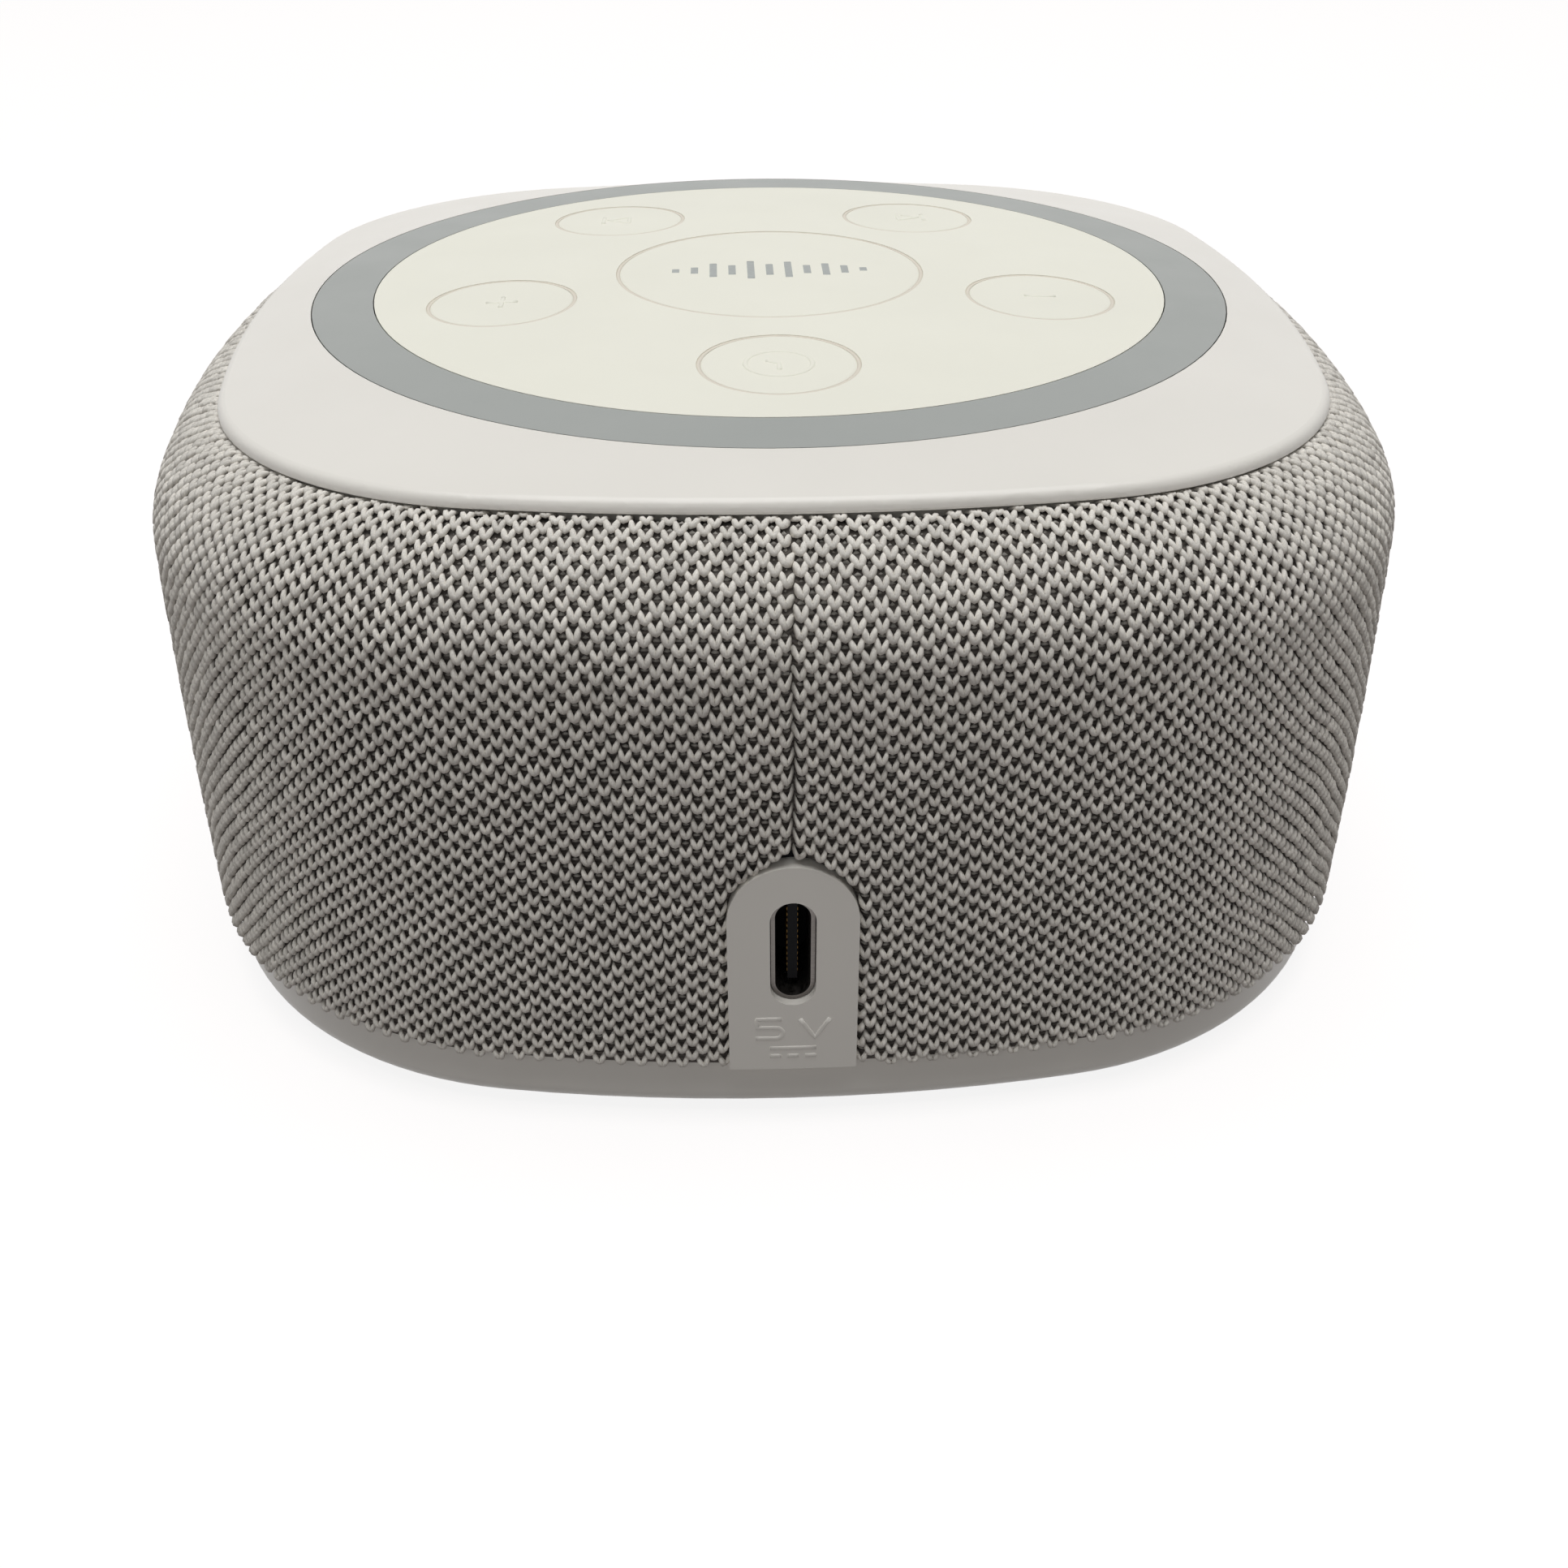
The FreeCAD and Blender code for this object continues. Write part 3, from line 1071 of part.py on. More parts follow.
def build():
    os.makedirs("parts", exist_ok=True)
    export("knit_sleeve", knit_sleeve())
    export("inner_housing", inner_housing())
    export("base_shell", base_shell())
    export("rubber_feet", rubber_feet())
    export("case_screws", case_screws())
    export("top_cap", top_cap())
    export("cap_screws", cap_screws())
    export("light_ring", light_ring())
    export("light_baffle", light_baffle())
    export("control_panel", control_panel())
    for name, (x, y, radius) in key_places().items():
        export(name + "_button", keycap(x, y, radius))
        export(name + "_plunger", plunger(x, y))
    export("switch_housings", switch_housings())
    export("port_plate", port_plate())
    export("usb_shell", usb_shell())
    export("usb_tongue", usb_tongue())
    export("usb_contacts", usb_contacts())
    export("main_board", main_board())
    export("main_board_screws", main_board_screws())
    export("port_board", port_board())
    export("board_header", board_header())
    export("board_chips", board_chips())
    export("board_capacitors", board_capacitors())
    lower_socket, upper_socket = ribbon_sockets()
    export("main_ribbon_socket", lower_socket)
    export("top_ribbon_socket", upper_socket)
    export("ribbon_cable", ribbon_cable())
    export("speaker_terminal", speaker_terminal())
    export("speaker_socket", speaker_socket())
    export("speaker_wires", speaker_wires())
    export("control_board", control_board())
    export("control_board_screws", control_board_screws())
    export("ring_leds", ring_leds())
    export("speaker_gasket", speaker_gasket())
    export("speaker_basket", speaker_basket())
    export("speaker_screws", speaker_screws())
    export("speaker_top_plate", speaker_top_plate())
    export("speaker_magnet", speaker_magnet())
    export("speaker_yoke", speaker_yoke())
    export("voice_coil", voice_coil())
    export("speaker_cone", speaker_cone())
    export("dust_cap", dust_cap())
    export("speaker_surround", speaker_surround())
    export("speaker_spider", speaker_spider())


build()
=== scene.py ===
"""White noise sound machine.

Knitted walls, a domed white top with a grey light ring, six round buttons and a rear socket.
"""

import logging
import math
from dataclasses import dataclass, field
from enum import Enum
from functools import cache
from typing import Callable, Sequence

import bpy
import numpy as np
from mathutils import Matrix, Vector


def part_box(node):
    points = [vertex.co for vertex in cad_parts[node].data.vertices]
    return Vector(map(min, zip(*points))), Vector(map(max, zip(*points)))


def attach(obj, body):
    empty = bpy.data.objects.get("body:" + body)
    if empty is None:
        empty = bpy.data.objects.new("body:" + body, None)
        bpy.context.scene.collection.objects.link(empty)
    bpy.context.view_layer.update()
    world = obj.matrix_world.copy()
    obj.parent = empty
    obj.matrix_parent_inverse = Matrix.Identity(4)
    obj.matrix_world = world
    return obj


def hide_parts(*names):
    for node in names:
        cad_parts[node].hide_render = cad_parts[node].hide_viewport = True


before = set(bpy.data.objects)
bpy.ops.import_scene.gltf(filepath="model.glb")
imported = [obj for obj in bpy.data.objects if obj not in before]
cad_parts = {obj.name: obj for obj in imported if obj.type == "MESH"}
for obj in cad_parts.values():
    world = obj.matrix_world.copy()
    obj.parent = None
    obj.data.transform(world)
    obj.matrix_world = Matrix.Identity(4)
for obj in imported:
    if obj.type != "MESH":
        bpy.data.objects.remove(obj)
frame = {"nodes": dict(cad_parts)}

LOG = logging.getLogger("sound_machine")
MM = 0.001
CASE = "case"
Colour = tuple[float, float, float]
Place = tuple[float, float, float]
Paint = tuple[float, float, float, float]
YarnPoint = tuple[float, float, float, float]
SurfaceMap = Callable[[np.ndarray, np.ndarray, np.ndarray], np.ndarray]
Socket = bpy.types.NodeSocket
Path = tuple[np.ndarray, bool]
Mesh = tuple[np.ndarray, np.ndarray]


class Slot(Enum):
    """The record's material slots."""

    KNIT = "knit"
    WHITE = "white_plastic"
    PANEL = "panel_plastic"
    KEY = "key_plastic"
    RING = "ring_plastic"
    BRIGHT = "bright_plastic"
    BLACK = "black_plastic"
    FOOT = "foot_rubber"
    SCREW = "screw_steel"
    SOCKET = "socket_steel"
    CONTACT = "contact_brass"
    BOARD = "board_green"
    CHIP = "chip_black"
    CAN = "can_aluminium"
    RIBBON = "ribbon_white"
    WIRE = "wire_red"
    LED = "led_white"
    FOAM = "foam_black"
    BASKET = "basket_steel"
    PLATE = "plate_steel"
    MAGNET = "magnet_ferrite"
    COIL = "coil_copper"
    CONE = "cone_paper"
    SURROUND = "surround_rubber"
    SPIDER = "spider_cloth"
    PLUNGER = "plunger_plastic"


def srgb(red: float, green: float, blue: float) -> Colour:
    """Turn a colour as seen on screen, 0 to 255, into linear light.

    Args:
        red: Red part, 0 to 255.
        green: Green part, 0 to 255.
        blue: Blue part, 0 to 255.

    Returns:
        The linear colour.
    """
    parts = [c / 255.0 for c in (red, green, blue)]
    linear = [c / 12.92 if c <= 0.04045 else ((c + 0.055) / 1.055) ** 2.4 for c in parts]
    return (linear[0], linear[1], linear[2])


def shaded(colour: Colour, share: float) -> Paint:
    """Scale a colour's brightness by share, with full opacity."""
    return (colour[0] * share, colour[1] * share, colour[2] * share, 1.0)


class Recipe:
    """Lays out the nodes of one material around a single surface shader."""

    def __init__(self, name: str) -> None:
        """Start an empty material.

        Args:
            name: Name of the material.
        """
        self.material = bpy.data.materials.new(name)
        self.material.use_nodes = True
        self.tree = self.material.node_tree
        self.tree.nodes.clear()
        self.shader = self.node("BsdfPrincipled")
        self.link(self.shader.outputs["BSDF"], self.node("OutputMaterial").inputs["Surface"])
        self.place = self.node("TexCoord").outputs["Object"]

    def node(self, kind: str, **values: float | Place) -> bpy.types.Node:
        """Add a node.

        Args:
            kind: Its type, without the leading ShaderNode.
            values: What its sockets are set to, by their names.

        Returns:
            The node.
        """
        node = self.tree.nodes.new(f"ShaderNode{kind}")
        for socket, value in values.items():
            node.inputs[socket].default_value = value
        return node

    def link(self, source: Socket, target: Socket) -> None:
        """Join two sockets."""
        self.tree.links.new(source, target)

    def set(self, socket: str, value: float) -> None:
        """Set a constant on the shader's own socket."""
        self.shader.inputs[socket].default_value = value

    def feed(self, socket: str, source: Socket) -> None:
        """Drive one of the shader's sockets."""
        self.link(source, self.shader.inputs[socket])

    def noise(self, size: float, detail: float = 3.0, stretch: Place = (1.0, 1.0, 1.0)) -> Socket:
        """Cloudy noise.

        Args:
            size: Size of its clouds, in metres.
            detail: How many finer layers it has.
            stretch: How much it is squeezed along each axis.

        Returns:
            The noise's value, about 0 to 1.
        """
        node = self.node("TexNoise", Scale=1.0 / size, Detail=detail)
        mapping = self.node("Mapping", Scale=stretch)
        self.link(self.place, mapping.inputs["Vector"])
        self.link(mapping.outputs["Vector"], node.inputs["Vector"])
        return node.outputs["Fac"]

    def cells(self, size: float) -> Socket:
        """Distance to the nearest of scattered points, for grain and foam.

        Args:
            size: Size of a cell, in metres.

        Returns:
            The distance.
        """
        node = self.node("TexVoronoi", Scale=1.0 / size)
        self.link(self.place, node.inputs["Vector"])
        return node.outputs["Distance"]

    def waves(self, size: float, direction: str, distortion: float = 0.0) -> Socket:
        """Parallel ribs.

        Args:
            size: Distance from rib to rib, in metres.
            direction: Axis across the ribs, X, Y or Z.
            distortion: How much they wander.

        Returns:
            The rib's height, 0 to 1.
        """
        node = self.node("TexWave", Scale=math.pi / (10.0 * size), Distortion=distortion)
        node.bands_direction = direction
        self.link(self.place, node.inputs["Vector"])
        return node.outputs["Fac"]

    def spread(
        self, source: Socket, low: float, high: float, start: float = 0.3, end: float = 0.7
    ) -> Socket:
        """Map the middle of a source to a range.

        Args:
            source: The value to map.
            low: Result at start.
            high: Result at end.
            start: Source value for low.
            end: Source value for high.

        Returns:
            The mapped value.
        """
        ends = {"From Min": start, "From Max": end, "To Min": low, "To Max": high}
        node = self.node("MapRange", **ends)
        self.link(source, node.inputs["Value"])
        return node.outputs["Result"]

    def join(self, operation: str, first: Socket, second: Socket, kind: str = "Math") -> Socket:
        """Put two values together.

        Args:
            operation: Name of the sum, as Blender has it.
            first: One value.
            second: The other value.
            kind: Type of the node, Math for numbers and VectorMath for colours.

        Returns:
            The result.
        """
        node = self.node(kind)
        node.operation = operation
        self.link(first, node.inputs[0])
        self.link(second, node.inputs[1])
        return node.outputs[0]

    def blend(self, share: Socket, first: Paint, second: Paint) -> Socket:
        """Mix two colours by a share.

        Args:
            share: 0 for the first colour, 1 for the second.
            first: First colour.
            second: Second colour.

        Returns:
            The mixed colour.
        """
        node = self.node("ValToRGB")
        node.color_ramp.elements[0].color = first
        node.color_ramp.elements[1].color = second
        self.link(share, node.inputs["Fac"])
        return node.outputs["Color"]

    def times(self, colour: Socket, share: Socket) -> Socket:
        """Multiply a colour by a value."""
        return self.join("MULTIPLY", colour, share, "VectorMath")

    def relief(self, height: Socket, depth: float, strength: float = 1.0) -> Socket:
        """Turn a height into a bumped normal.

        Args:
            height: The height, 0 to 1.
            depth: What 1 stands for, in metres.
            strength: Strength of the bump.

        Returns:
            The normal.
        """
        node = self.node("Bump", Distance=depth, Strength=strength)
        self.link(height, node.inputs["Height"])
        return node.outputs["Normal"]


@dataclass(frozen=True)
class Finish:
    """A surface finish that is mixed once and then reused."""

    name: str
    colour: Colour

    @cache
    def mix(self) -> bpy.types.Material:
        """Build the material, once for each finish.

        Returns:
            The finished material.
        """
        recipe = Recipe(self.name)
        self.dress(recipe)
        return recipe.material

    def dress(self, recipe: Recipe) -> None:
        """Lay the finish's own nodes out on an empty recipe."""
        raise NotImplementedError


@dataclass(frozen=True)
class MouldedPlastic(Finish):
    """Injection-moulded plastic with a fine spark-eroded grain."""

    roughness: float = 0.4
    grain: float = 0.25 * MM
    depth: float = 0.004 * MM
    mottle: float = 0.015
    shine: float = 0.5

    def dress(self, recipe: Recipe) -> None:
        """Lay out a faint mottle, a fine grain and a wandering gloss.

        Args:
            recipe: The recipe to fill.
        """
        cloud = recipe.spread(recipe.noise(14 * MM, 4.0), 0.0, 1.0)
        dark, light = shaded(self.colour, 1.0 - self.mottle), shaded(self.colour, 1.0 + self.mottle)
        recipe.feed("Base Color", recipe.blend(cloud, dark, light))
        grain = recipe.noise(self.grain, 2.0)
        recipe.feed("Normal", recipe.relief(grain, self.depth))
        wander = recipe.noise(6 * MM, 3.0)
        recipe.feed("Roughness", recipe.spread(wander, self.roughness - 0.04, self.roughness + 0.04))
        recipe.set("Specular IOR Level", self.shine)


@dataclass(frozen=True)
class KnitYarn(Finish):
    """Matt polyester yarn: every stitch a little lighter or darker, with painted shade on its tips and
    loops and fine fibres along it.
    """

    # Dark end of the yarn: each stitch's random tone and the painted shade on tips and loops both blend
    # towards it
    shadow: Colour = (0.02, 0.02, 0.02)

    def dress(self, recipe: Recipe) -> None:
        """Lay out the stitch's own tone with its painted shade, the fibres and a soft sheen.

        Args:
            recipe: The recipe to fill.
        """
        # Each point's tone: random from stitch to stitch, times the painted shade on the tips and loops
        tone_and_shade = recipe.node("Attribute")
        tone_and_shade.attribute_name = "tone_and_shade"
        yarn = recipe.blend(tone_and_shade.outputs["Fac"], (*self.shadow, 1.0), shaded(self.colour, 1.0))
        fibres = recipe.noise(0.09 * MM, 3.0, (1.0, 1.0, 0.35))
        recipe.feed("Base Color", recipe.times(yarn, recipe.spread(fibres, 0.86, 1.12)))
        recipe.feed("Normal", recipe.relief(fibres, 0.02 * MM, 0.8))
        recipe.set("Roughness", 0.85)
        recipe.set("Sheen Weight", 0.12)
        recipe.set("Sheen Roughness", 0.5)
        recipe.set("Specular IOR Level", 0.3)


@dataclass(frozen=True)
class KnitGround(Finish):
    """The loops at the back of the knit, darker than the yarn as painted shade in the holes between
    stitches.
    """

    def dress(self, recipe: Recipe) -> None:
        """Lay out small crossing ribs in two tones.

        Args:
            recipe: The recipe to fill.
        """
        ribs = recipe.waves(0.35 * MM, "Z", 1.5)
        fuzz = recipe.noise(0.2 * MM, 4.0)
        tone = recipe.blend(fuzz, shaded(self.colour, 0.45), shaded(self.colour, 1.5))
        # Darker in the troughs between the ribs: painted shade
        recipe.feed("Base Color", recipe.times(tone, recipe.spread(ribs, 0.6, 1.2, 0.0, 1.0)))
        recipe.feed("Normal", recipe.relief(ribs, 0.08 * MM))
        recipe.set("Roughness", 0.95)


@dataclass(frozen=True)
class Metal(Finish):
    """Bare or plated metal with fine tool marks."""

    roughness: float = 0.35
    marks: Place = (1.0, 1.0, 8.0)

    def dress(self, recipe: Recipe) -> None:
        """Lay out drawn-out marks over faint stains.

        Args:
            recipe: The recipe to fill.
        """
        streaks = recipe.noise(0.5 * MM, 4.0, self.marks)
        stain = recipe.spread(recipe.noise(3 * MM, 3.0), 0.0, 1.0)
        recipe.feed("Base Color", recipe.blend(stain, shaded(self.colour, 0.9), shaded(self.colour, 1.05)))
        recipe.feed("Roughness", recipe.spread(streaks, self.roughness - 0.1, self.roughness + 0.12))
        recipe.feed("Normal", recipe.relief(streaks, 0.004 * MM))
        recipe.set("Metallic", 1.0)


@dataclass(frozen=True)
class SoftSheet(Finish):
    """Rubber, foam, paper or felt: a matt sheet with a pitted or fibrous face."""

    pore: float = 0.4 * MM
    depth: float = 0.03 * MM
    roughness: float = 0.85

    def dress(self, recipe: Recipe) -> None:
        """Lay out the pores, darker in their pits as painted shade, and a cloudy tone.

        Args:
            recipe: The recipe to fill.
        """
        pores = recipe.cells(self.pore)
        cloud = recipe.spread(recipe.noise(4 * MM, 4.0), 0.0, 1.0)
        tone = recipe.blend(cloud, shaded(self.colour, 0.85), shaded(self.colour, 1.12))
        # Darker in the pits of the pores: painted shade
        recipe.feed("Base Color", recipe.times(tone, recipe.spread(pores, 0.85, 1.05, 0.0, 0.6)))
        recipe.feed("Normal", recipe.relief(pores, self.depth))
        recipe.set("Roughness", self.roughness)


@dataclass(frozen=True)
class CircuitBoard(Finish):
    """Glass-fibre board under solder mask."""

    copper: Colour = (0.1, 0.3, 0.12)

    def dress(self, recipe: Recipe) -> None:
        """Lay out traces that run both ways under a glossy mask.

        Args:
            recipe: The recipe to fill.
        """
        along = recipe.spread(recipe.waves(1.6 * MM, "X", 2.5), 0.0, 1.0, 0.72, 0.8)
        across = recipe.spread(recipe.waves(2.1 * MM, "Y", 3.0), 0.0, 1.0, 0.75, 0.83)
        traces = recipe.join("MAXIMUM", along, across)
        recipe.feed("Base Color", recipe.blend(traces, shaded(self.colour, 1.0), shaded(self.copper, 1.0)))
        recipe.feed("Normal", recipe.relief(traces, 0.03 * MM))
        recipe.set("Roughness", 0.3)


@dataclass(frozen=True)
class WovenCloth(Finish):
    """Resin-stiffened woven cloth."""

    def dress(self, recipe: Recipe) -> None:
        """Lay out two crossing sets of threads, darker between them as painted shade.

        Args:
            recipe: The recipe to fill.
        """
        weave = recipe.join("MULTIPLY", recipe.waves(0.5 * MM, "X"), recipe.waves(0.5 * MM, "Y"))
        # Darker between the threads: painted shade
        recipe.feed("Base Color", recipe.blend(weave, shaded(self.colour, 0.55), shaded(self.colour, 1.1)))
        recipe.feed("Normal", recipe.relief(weave, 0.08 * MM))
        recipe.set("Roughness", 0.75)


@dataclass(frozen=True)
class PrintedInk(Finish):
    """Pad-printed ink, slightly uneven."""

    def dress(self, recipe: Recipe) -> None:
        """Lay out the uneven ink.

        Args:
            recipe: The recipe to fill.
        """
        cover = recipe.noise(0.3 * MM, 4.0)
        recipe.feed("Base Color", recipe.blend(cover, shaded(self.colour, 1.15), shaded(self.colour, 0.9)))
        recipe.feed("Normal", recipe.relief(cover, 0.004 * MM))
        recipe.set("Roughness", 0.55)


WHITE = srgb(236, 233, 226)
SOFT_WHITE = srgb(242, 241, 228)

FINISHES: dict[Slot, Finish] = {
    Slot.KNIT: KnitYarn("knit_yarn", srgb(240, 236, 228), srgb(60, 57, 56)),
    Slot.WHITE: MouldedPlastic("case_white", WHITE, roughness=0.36),
    Slot.PANEL: MouldedPlastic("panel_soft_white", SOFT_WHITE, roughness=0.52, depth=0.006 * MM),
    Slot.KEY: MouldedPlastic("key_soft_white", SOFT_WHITE, roughness=0.55, depth=0.006 * MM),
    Slot.RING: MouldedPlastic("ring_diffuser_grey", srgb(157, 161, 158), roughness=0.42, mottle=0.02),
    Slot.BRIGHT: MouldedPlastic("reflector_white", srgb(240, 240, 240), roughness=0.5),
    Slot.BLACK: MouldedPlastic("socket_black", srgb(16, 16, 18), roughness=0.6, shine=0.1),
    Slot.FOOT: SoftSheet("foot_rubber_grey", srgb(74, 74, 76), 0.5 * MM, 0.02 * MM, 0.8),
    Slot.SCREW: Metal("screw_zinc", srgb(176, 178, 184), 0.35),
    Slot.SOCKET: Metal("socket_shell_steel", srgb(112, 108, 105), 0.35),
    # Gold contacts, darkened as painted shade inside the socket
    Slot.CONTACT: Metal("contact_gold_shaded", srgb(120, 94, 54), 0.5),
    Slot.BOARD: CircuitBoard("board_green_mask", srgb(22, 92, 48), srgb(48, 132, 70)),
    Slot.CHIP: MouldedPlastic("chip_epoxy", srgb(34, 34, 36), roughness=0.55, grain=0.12 * MM),
    Slot.CAN: Metal("capacitor_can", srgb(196, 198, 200), 0.28),
    Slot.RIBBON: MouldedPlastic("ribbon_film", srgb(226, 226, 220), roughness=0.35),
    Slot.WIRE: MouldedPlastic("wire_red_vinyl", srgb(176, 34, 30), roughness=0.4),
    Slot.LED: MouldedPlastic("led_phosphor", srgb(236, 226, 160), roughness=0.3),
    Slot.FOAM: SoftSheet("gasket_foam", srgb(38, 38, 40), 0.5 * MM, 0.15 * MM, 0.95),
    Slot.BASKET: Metal("basket_zinc", srgb(120, 122, 126), 0.45, (1.0, 1.0, 1.0)),
    Slot.PLATE: Metal("plate_zinc", srgb(168, 168, 166), 0.4),
    Slot.MAGNET: SoftSheet("magnet_ferrite", srgb(52, 52, 54), 0.3 * MM, 0.02 * MM, 0.6),
    Slot.COIL: Metal("coil_copper", srgb(190, 110, 66), 0.35, (1.0, 1.0, 12.0)),
    Slot.CONE: SoftSheet("cone_paper", srgb(44, 42, 42), 0.6 * MM, 0.05 * MM, 0.9),
    Slot.SURROUND: SoftSheet("surround_rubber", srgb(30, 30, 32), 0.8 * MM, 0.01 * MM, 0.55),
    Slot.SPIDER: WovenCloth("spider_cloth", srgb(196, 160, 92)),
    Slot.PLUNGER: MouldedPlastic("plunger_black", srgb(30, 30, 32), roughness=0.4),
}

# Ground colour well below the yarn's: painted shade in the holes between the stitches
KNIT_GROUND = KnitGround("knit_ground_shade", srgb(104, 99, 94))
# The seal's darker beige is painted shade in the groove round each button
KEY_SEAL = MouldedPlastic("seal_beige", srgb(230, 223, 209), roughness=0.6)
BAR_INK = PrintedInk("print_grey", srgb(168, 172, 170))


def mesh_piece(name: str, points: np.ndarray, triangles: np.ndarray) -> bpy.types.Object:
    """Make a smooth-shaded mesh object from arrays.

    Args:
        name: Name of the piece.
        points: Points, one row each, in metres.
        triangles: Corner numbers, three to a row.

    Returns:
        The new object, in the scene.
    """
    mesh = bpy.data.meshes.new(name)
    mesh.vertices.add(len(points))
    mesh.vertices.foreach_set("co", points.astype(np.float32).ravel())
    mesh.loops.add(triangles.size)
    mesh.loops.foreach_set("vertex_index", triangles.astype(np.int32).ravel())
    mesh.polygons.add(len(triangles))
    mesh.polygons.foreach_set("loop_start", np.arange(0, triangles.size, 3, dtype=np.int32))
    mesh.polygons.foreach_set("use_smooth", np.ones(len(triangles), dtype=bool))
    mesh.update(calc_edges=True)
    mesh.validate()
    piece = bpy.data.objects.new(name, mesh)
    bpy.context.scene.collection.objects.link(piece)
    return piece


def tube_triangles(rings: int, sides: int, closed: bool) -> np.ndarray:
    """Triangles of a tube whose points run ring by ring.

    Args:
        rings: Number of rings.
        sides: Points in a ring.
        closed: Whether the last ring joins the first.

    Returns:
        Corner numbers, three to a row.
    """
    span = rings if closed else rings - 1
    i, j = np.meshgrid(np.arange(span), np.arange(sides), indexing="ij")
    a = i * sides + j
    b = i * sides + (j + 1) % sides
    c = ((i + 1) % rings) * sides + (j + 1) % sides
    d = ((i + 1) % rings) * sides + j
    return np.concatenate([np.stack(corners, -1).reshape(-1, 3) for corners in ((a, b, c), (a, c, d))])


def ramp(value: np.ndarray, start: float, length: float) -> np.ndarray:
    """Rise from 0 at the start to 1 a length further on, level on both sides."""
    return np.clip((value - start) / length, 0.0, 1.0)


@dataclass
class BodySkin:
    """Outer face of the knit: tangent arcs in plan, carried up a bowed wall and a round shoulder."""

    half: float
    rim_z: float
    side_radius: float = 136 * MM
    corner_radius: float = 32.2 * MM
    wall_height: float = 32.3 * MM
    wall_bow: float = 770 * MM
    shoulder_radius: float = 10.4 * MM
    shoulder_angle: float = math.radians(66.4)

    def __post_init__(self) -> None:
        """Work out the arcs' centres and lengths."""
        self.side_centre = self.half - self.side_radius
        reach = self.side_radius - self.corner_radius
        self.corner_centre = (self.side_centre + math.sqrt(2 * reach**2 - self.side_centre**2)) / 2
        self.spread = math.atan2(self.corner_centre, self.corner_centre - self.side_centre)
        self.side_run = self.side_radius * self.spread
        self.quarter = 2 * self.side_run + self.corner_radius * (math.pi / 2 - 2 * self.spread)
        self.round = 4 * self.quarter
        self.lean = math.asin(self.wall_height / self.wall_bow)
        self.wall_run = self.wall_bow * self.lean
        self.height = self.wall_run + self.shoulder_radius * (self.shoulder_angle - self.lean)
        self.wall_x = self.half - self.wall_bow
        self.shoulder_x = self.wall_x + (self.wall_bow - self.shoulder_radius) * math.cos(self.lean)
        self.shoulder_z = self.rim_z + (self.wall_bow - self.shoulder_radius) * math.sin(self.lean)

    def plan(self, along: np.ndarray) -> tuple[np.ndarray, np.ndarray, np.ndarray, np.ndarray]:
        """Points of the outline.

        Args:
            along: Distance round the outline from the middle of the rear, towards +X.

        Returns:
            x and y of the points, then x and y of the outward direction.
        """
        turn = np.round(along / self.quarter)
        local = along - turn * self.quarter
        sign, run = np.sign(local), np.abs(local)
        on_side = run < self.side_run
        past_side = self.spread + (run - self.side_run) / self.corner_radius
        angle = np.where(on_side, run / self.side_radius, past_side)
        radius = np.where(on_side, self.side_radius, self.corner_radius)
        out = np.where(on_side, self.side_centre, self.corner_centre) + radius * np.cos(angle)
        across = sign * (np.where(on_side, 0.0, self.corner_centre) + radius * np.sin(angle))
        normal_out, normal_across = np.cos(angle), sign * np.sin(angle)
        cos, sin = np.cos(turn * math.pi / 2), np.sin(turn * math.pi / 2)
        x, y = across * cos + out * sin, out * cos - across * sin
        return x, y, normal_across * cos + normal_out * sin, normal_out * cos - normal_across * sin

    def profile(self, up: np.ndarray) -> tuple[np.ndarray, np.ndarray, np.ndarray]:
        """Points of the upright profile.

        Args:
            up: Distance up the profile from the rim.

        Returns:
            Distance from the centre plane, height, and the slope of the outward direction.
        """
        on_wall = up < self.wall_run
        past_wall = self.lean + (up - self.wall_run) / self.shoulder_radius
        angle = np.where(on_wall, up / self.wall_bow, past_wall)
        radius = np.where(on_wall, self.wall_bow, self.shoulder_radius)
        x = np.where(on_wall, self.wall_x, self.shoulder_x) + radius * np.cos(angle)
        z = np.where(on_wall, self.rim_z, self.shoulder_z) + radius * np.sin(angle)
        return x, z, angle

    def lay(self, along: np.ndarray, up: np.ndarray, lift: np.ndarray) -> np.ndarray:
        """Put points on the skin.

        Args:
            along: Distance round the outline.
            up: Distance up the profile.
            lift: Distance out from the skin.

        Returns:
            The points, one row each.
        """
        x, y, nx, ny = self.plan(along)
        wall, z, angle = self.profile(up)
        out = wall - self.half + lift * np.cos(angle)
        return np.stack([x + nx * out, y + ny * out, z + lift * np.sin(angle)], -1)


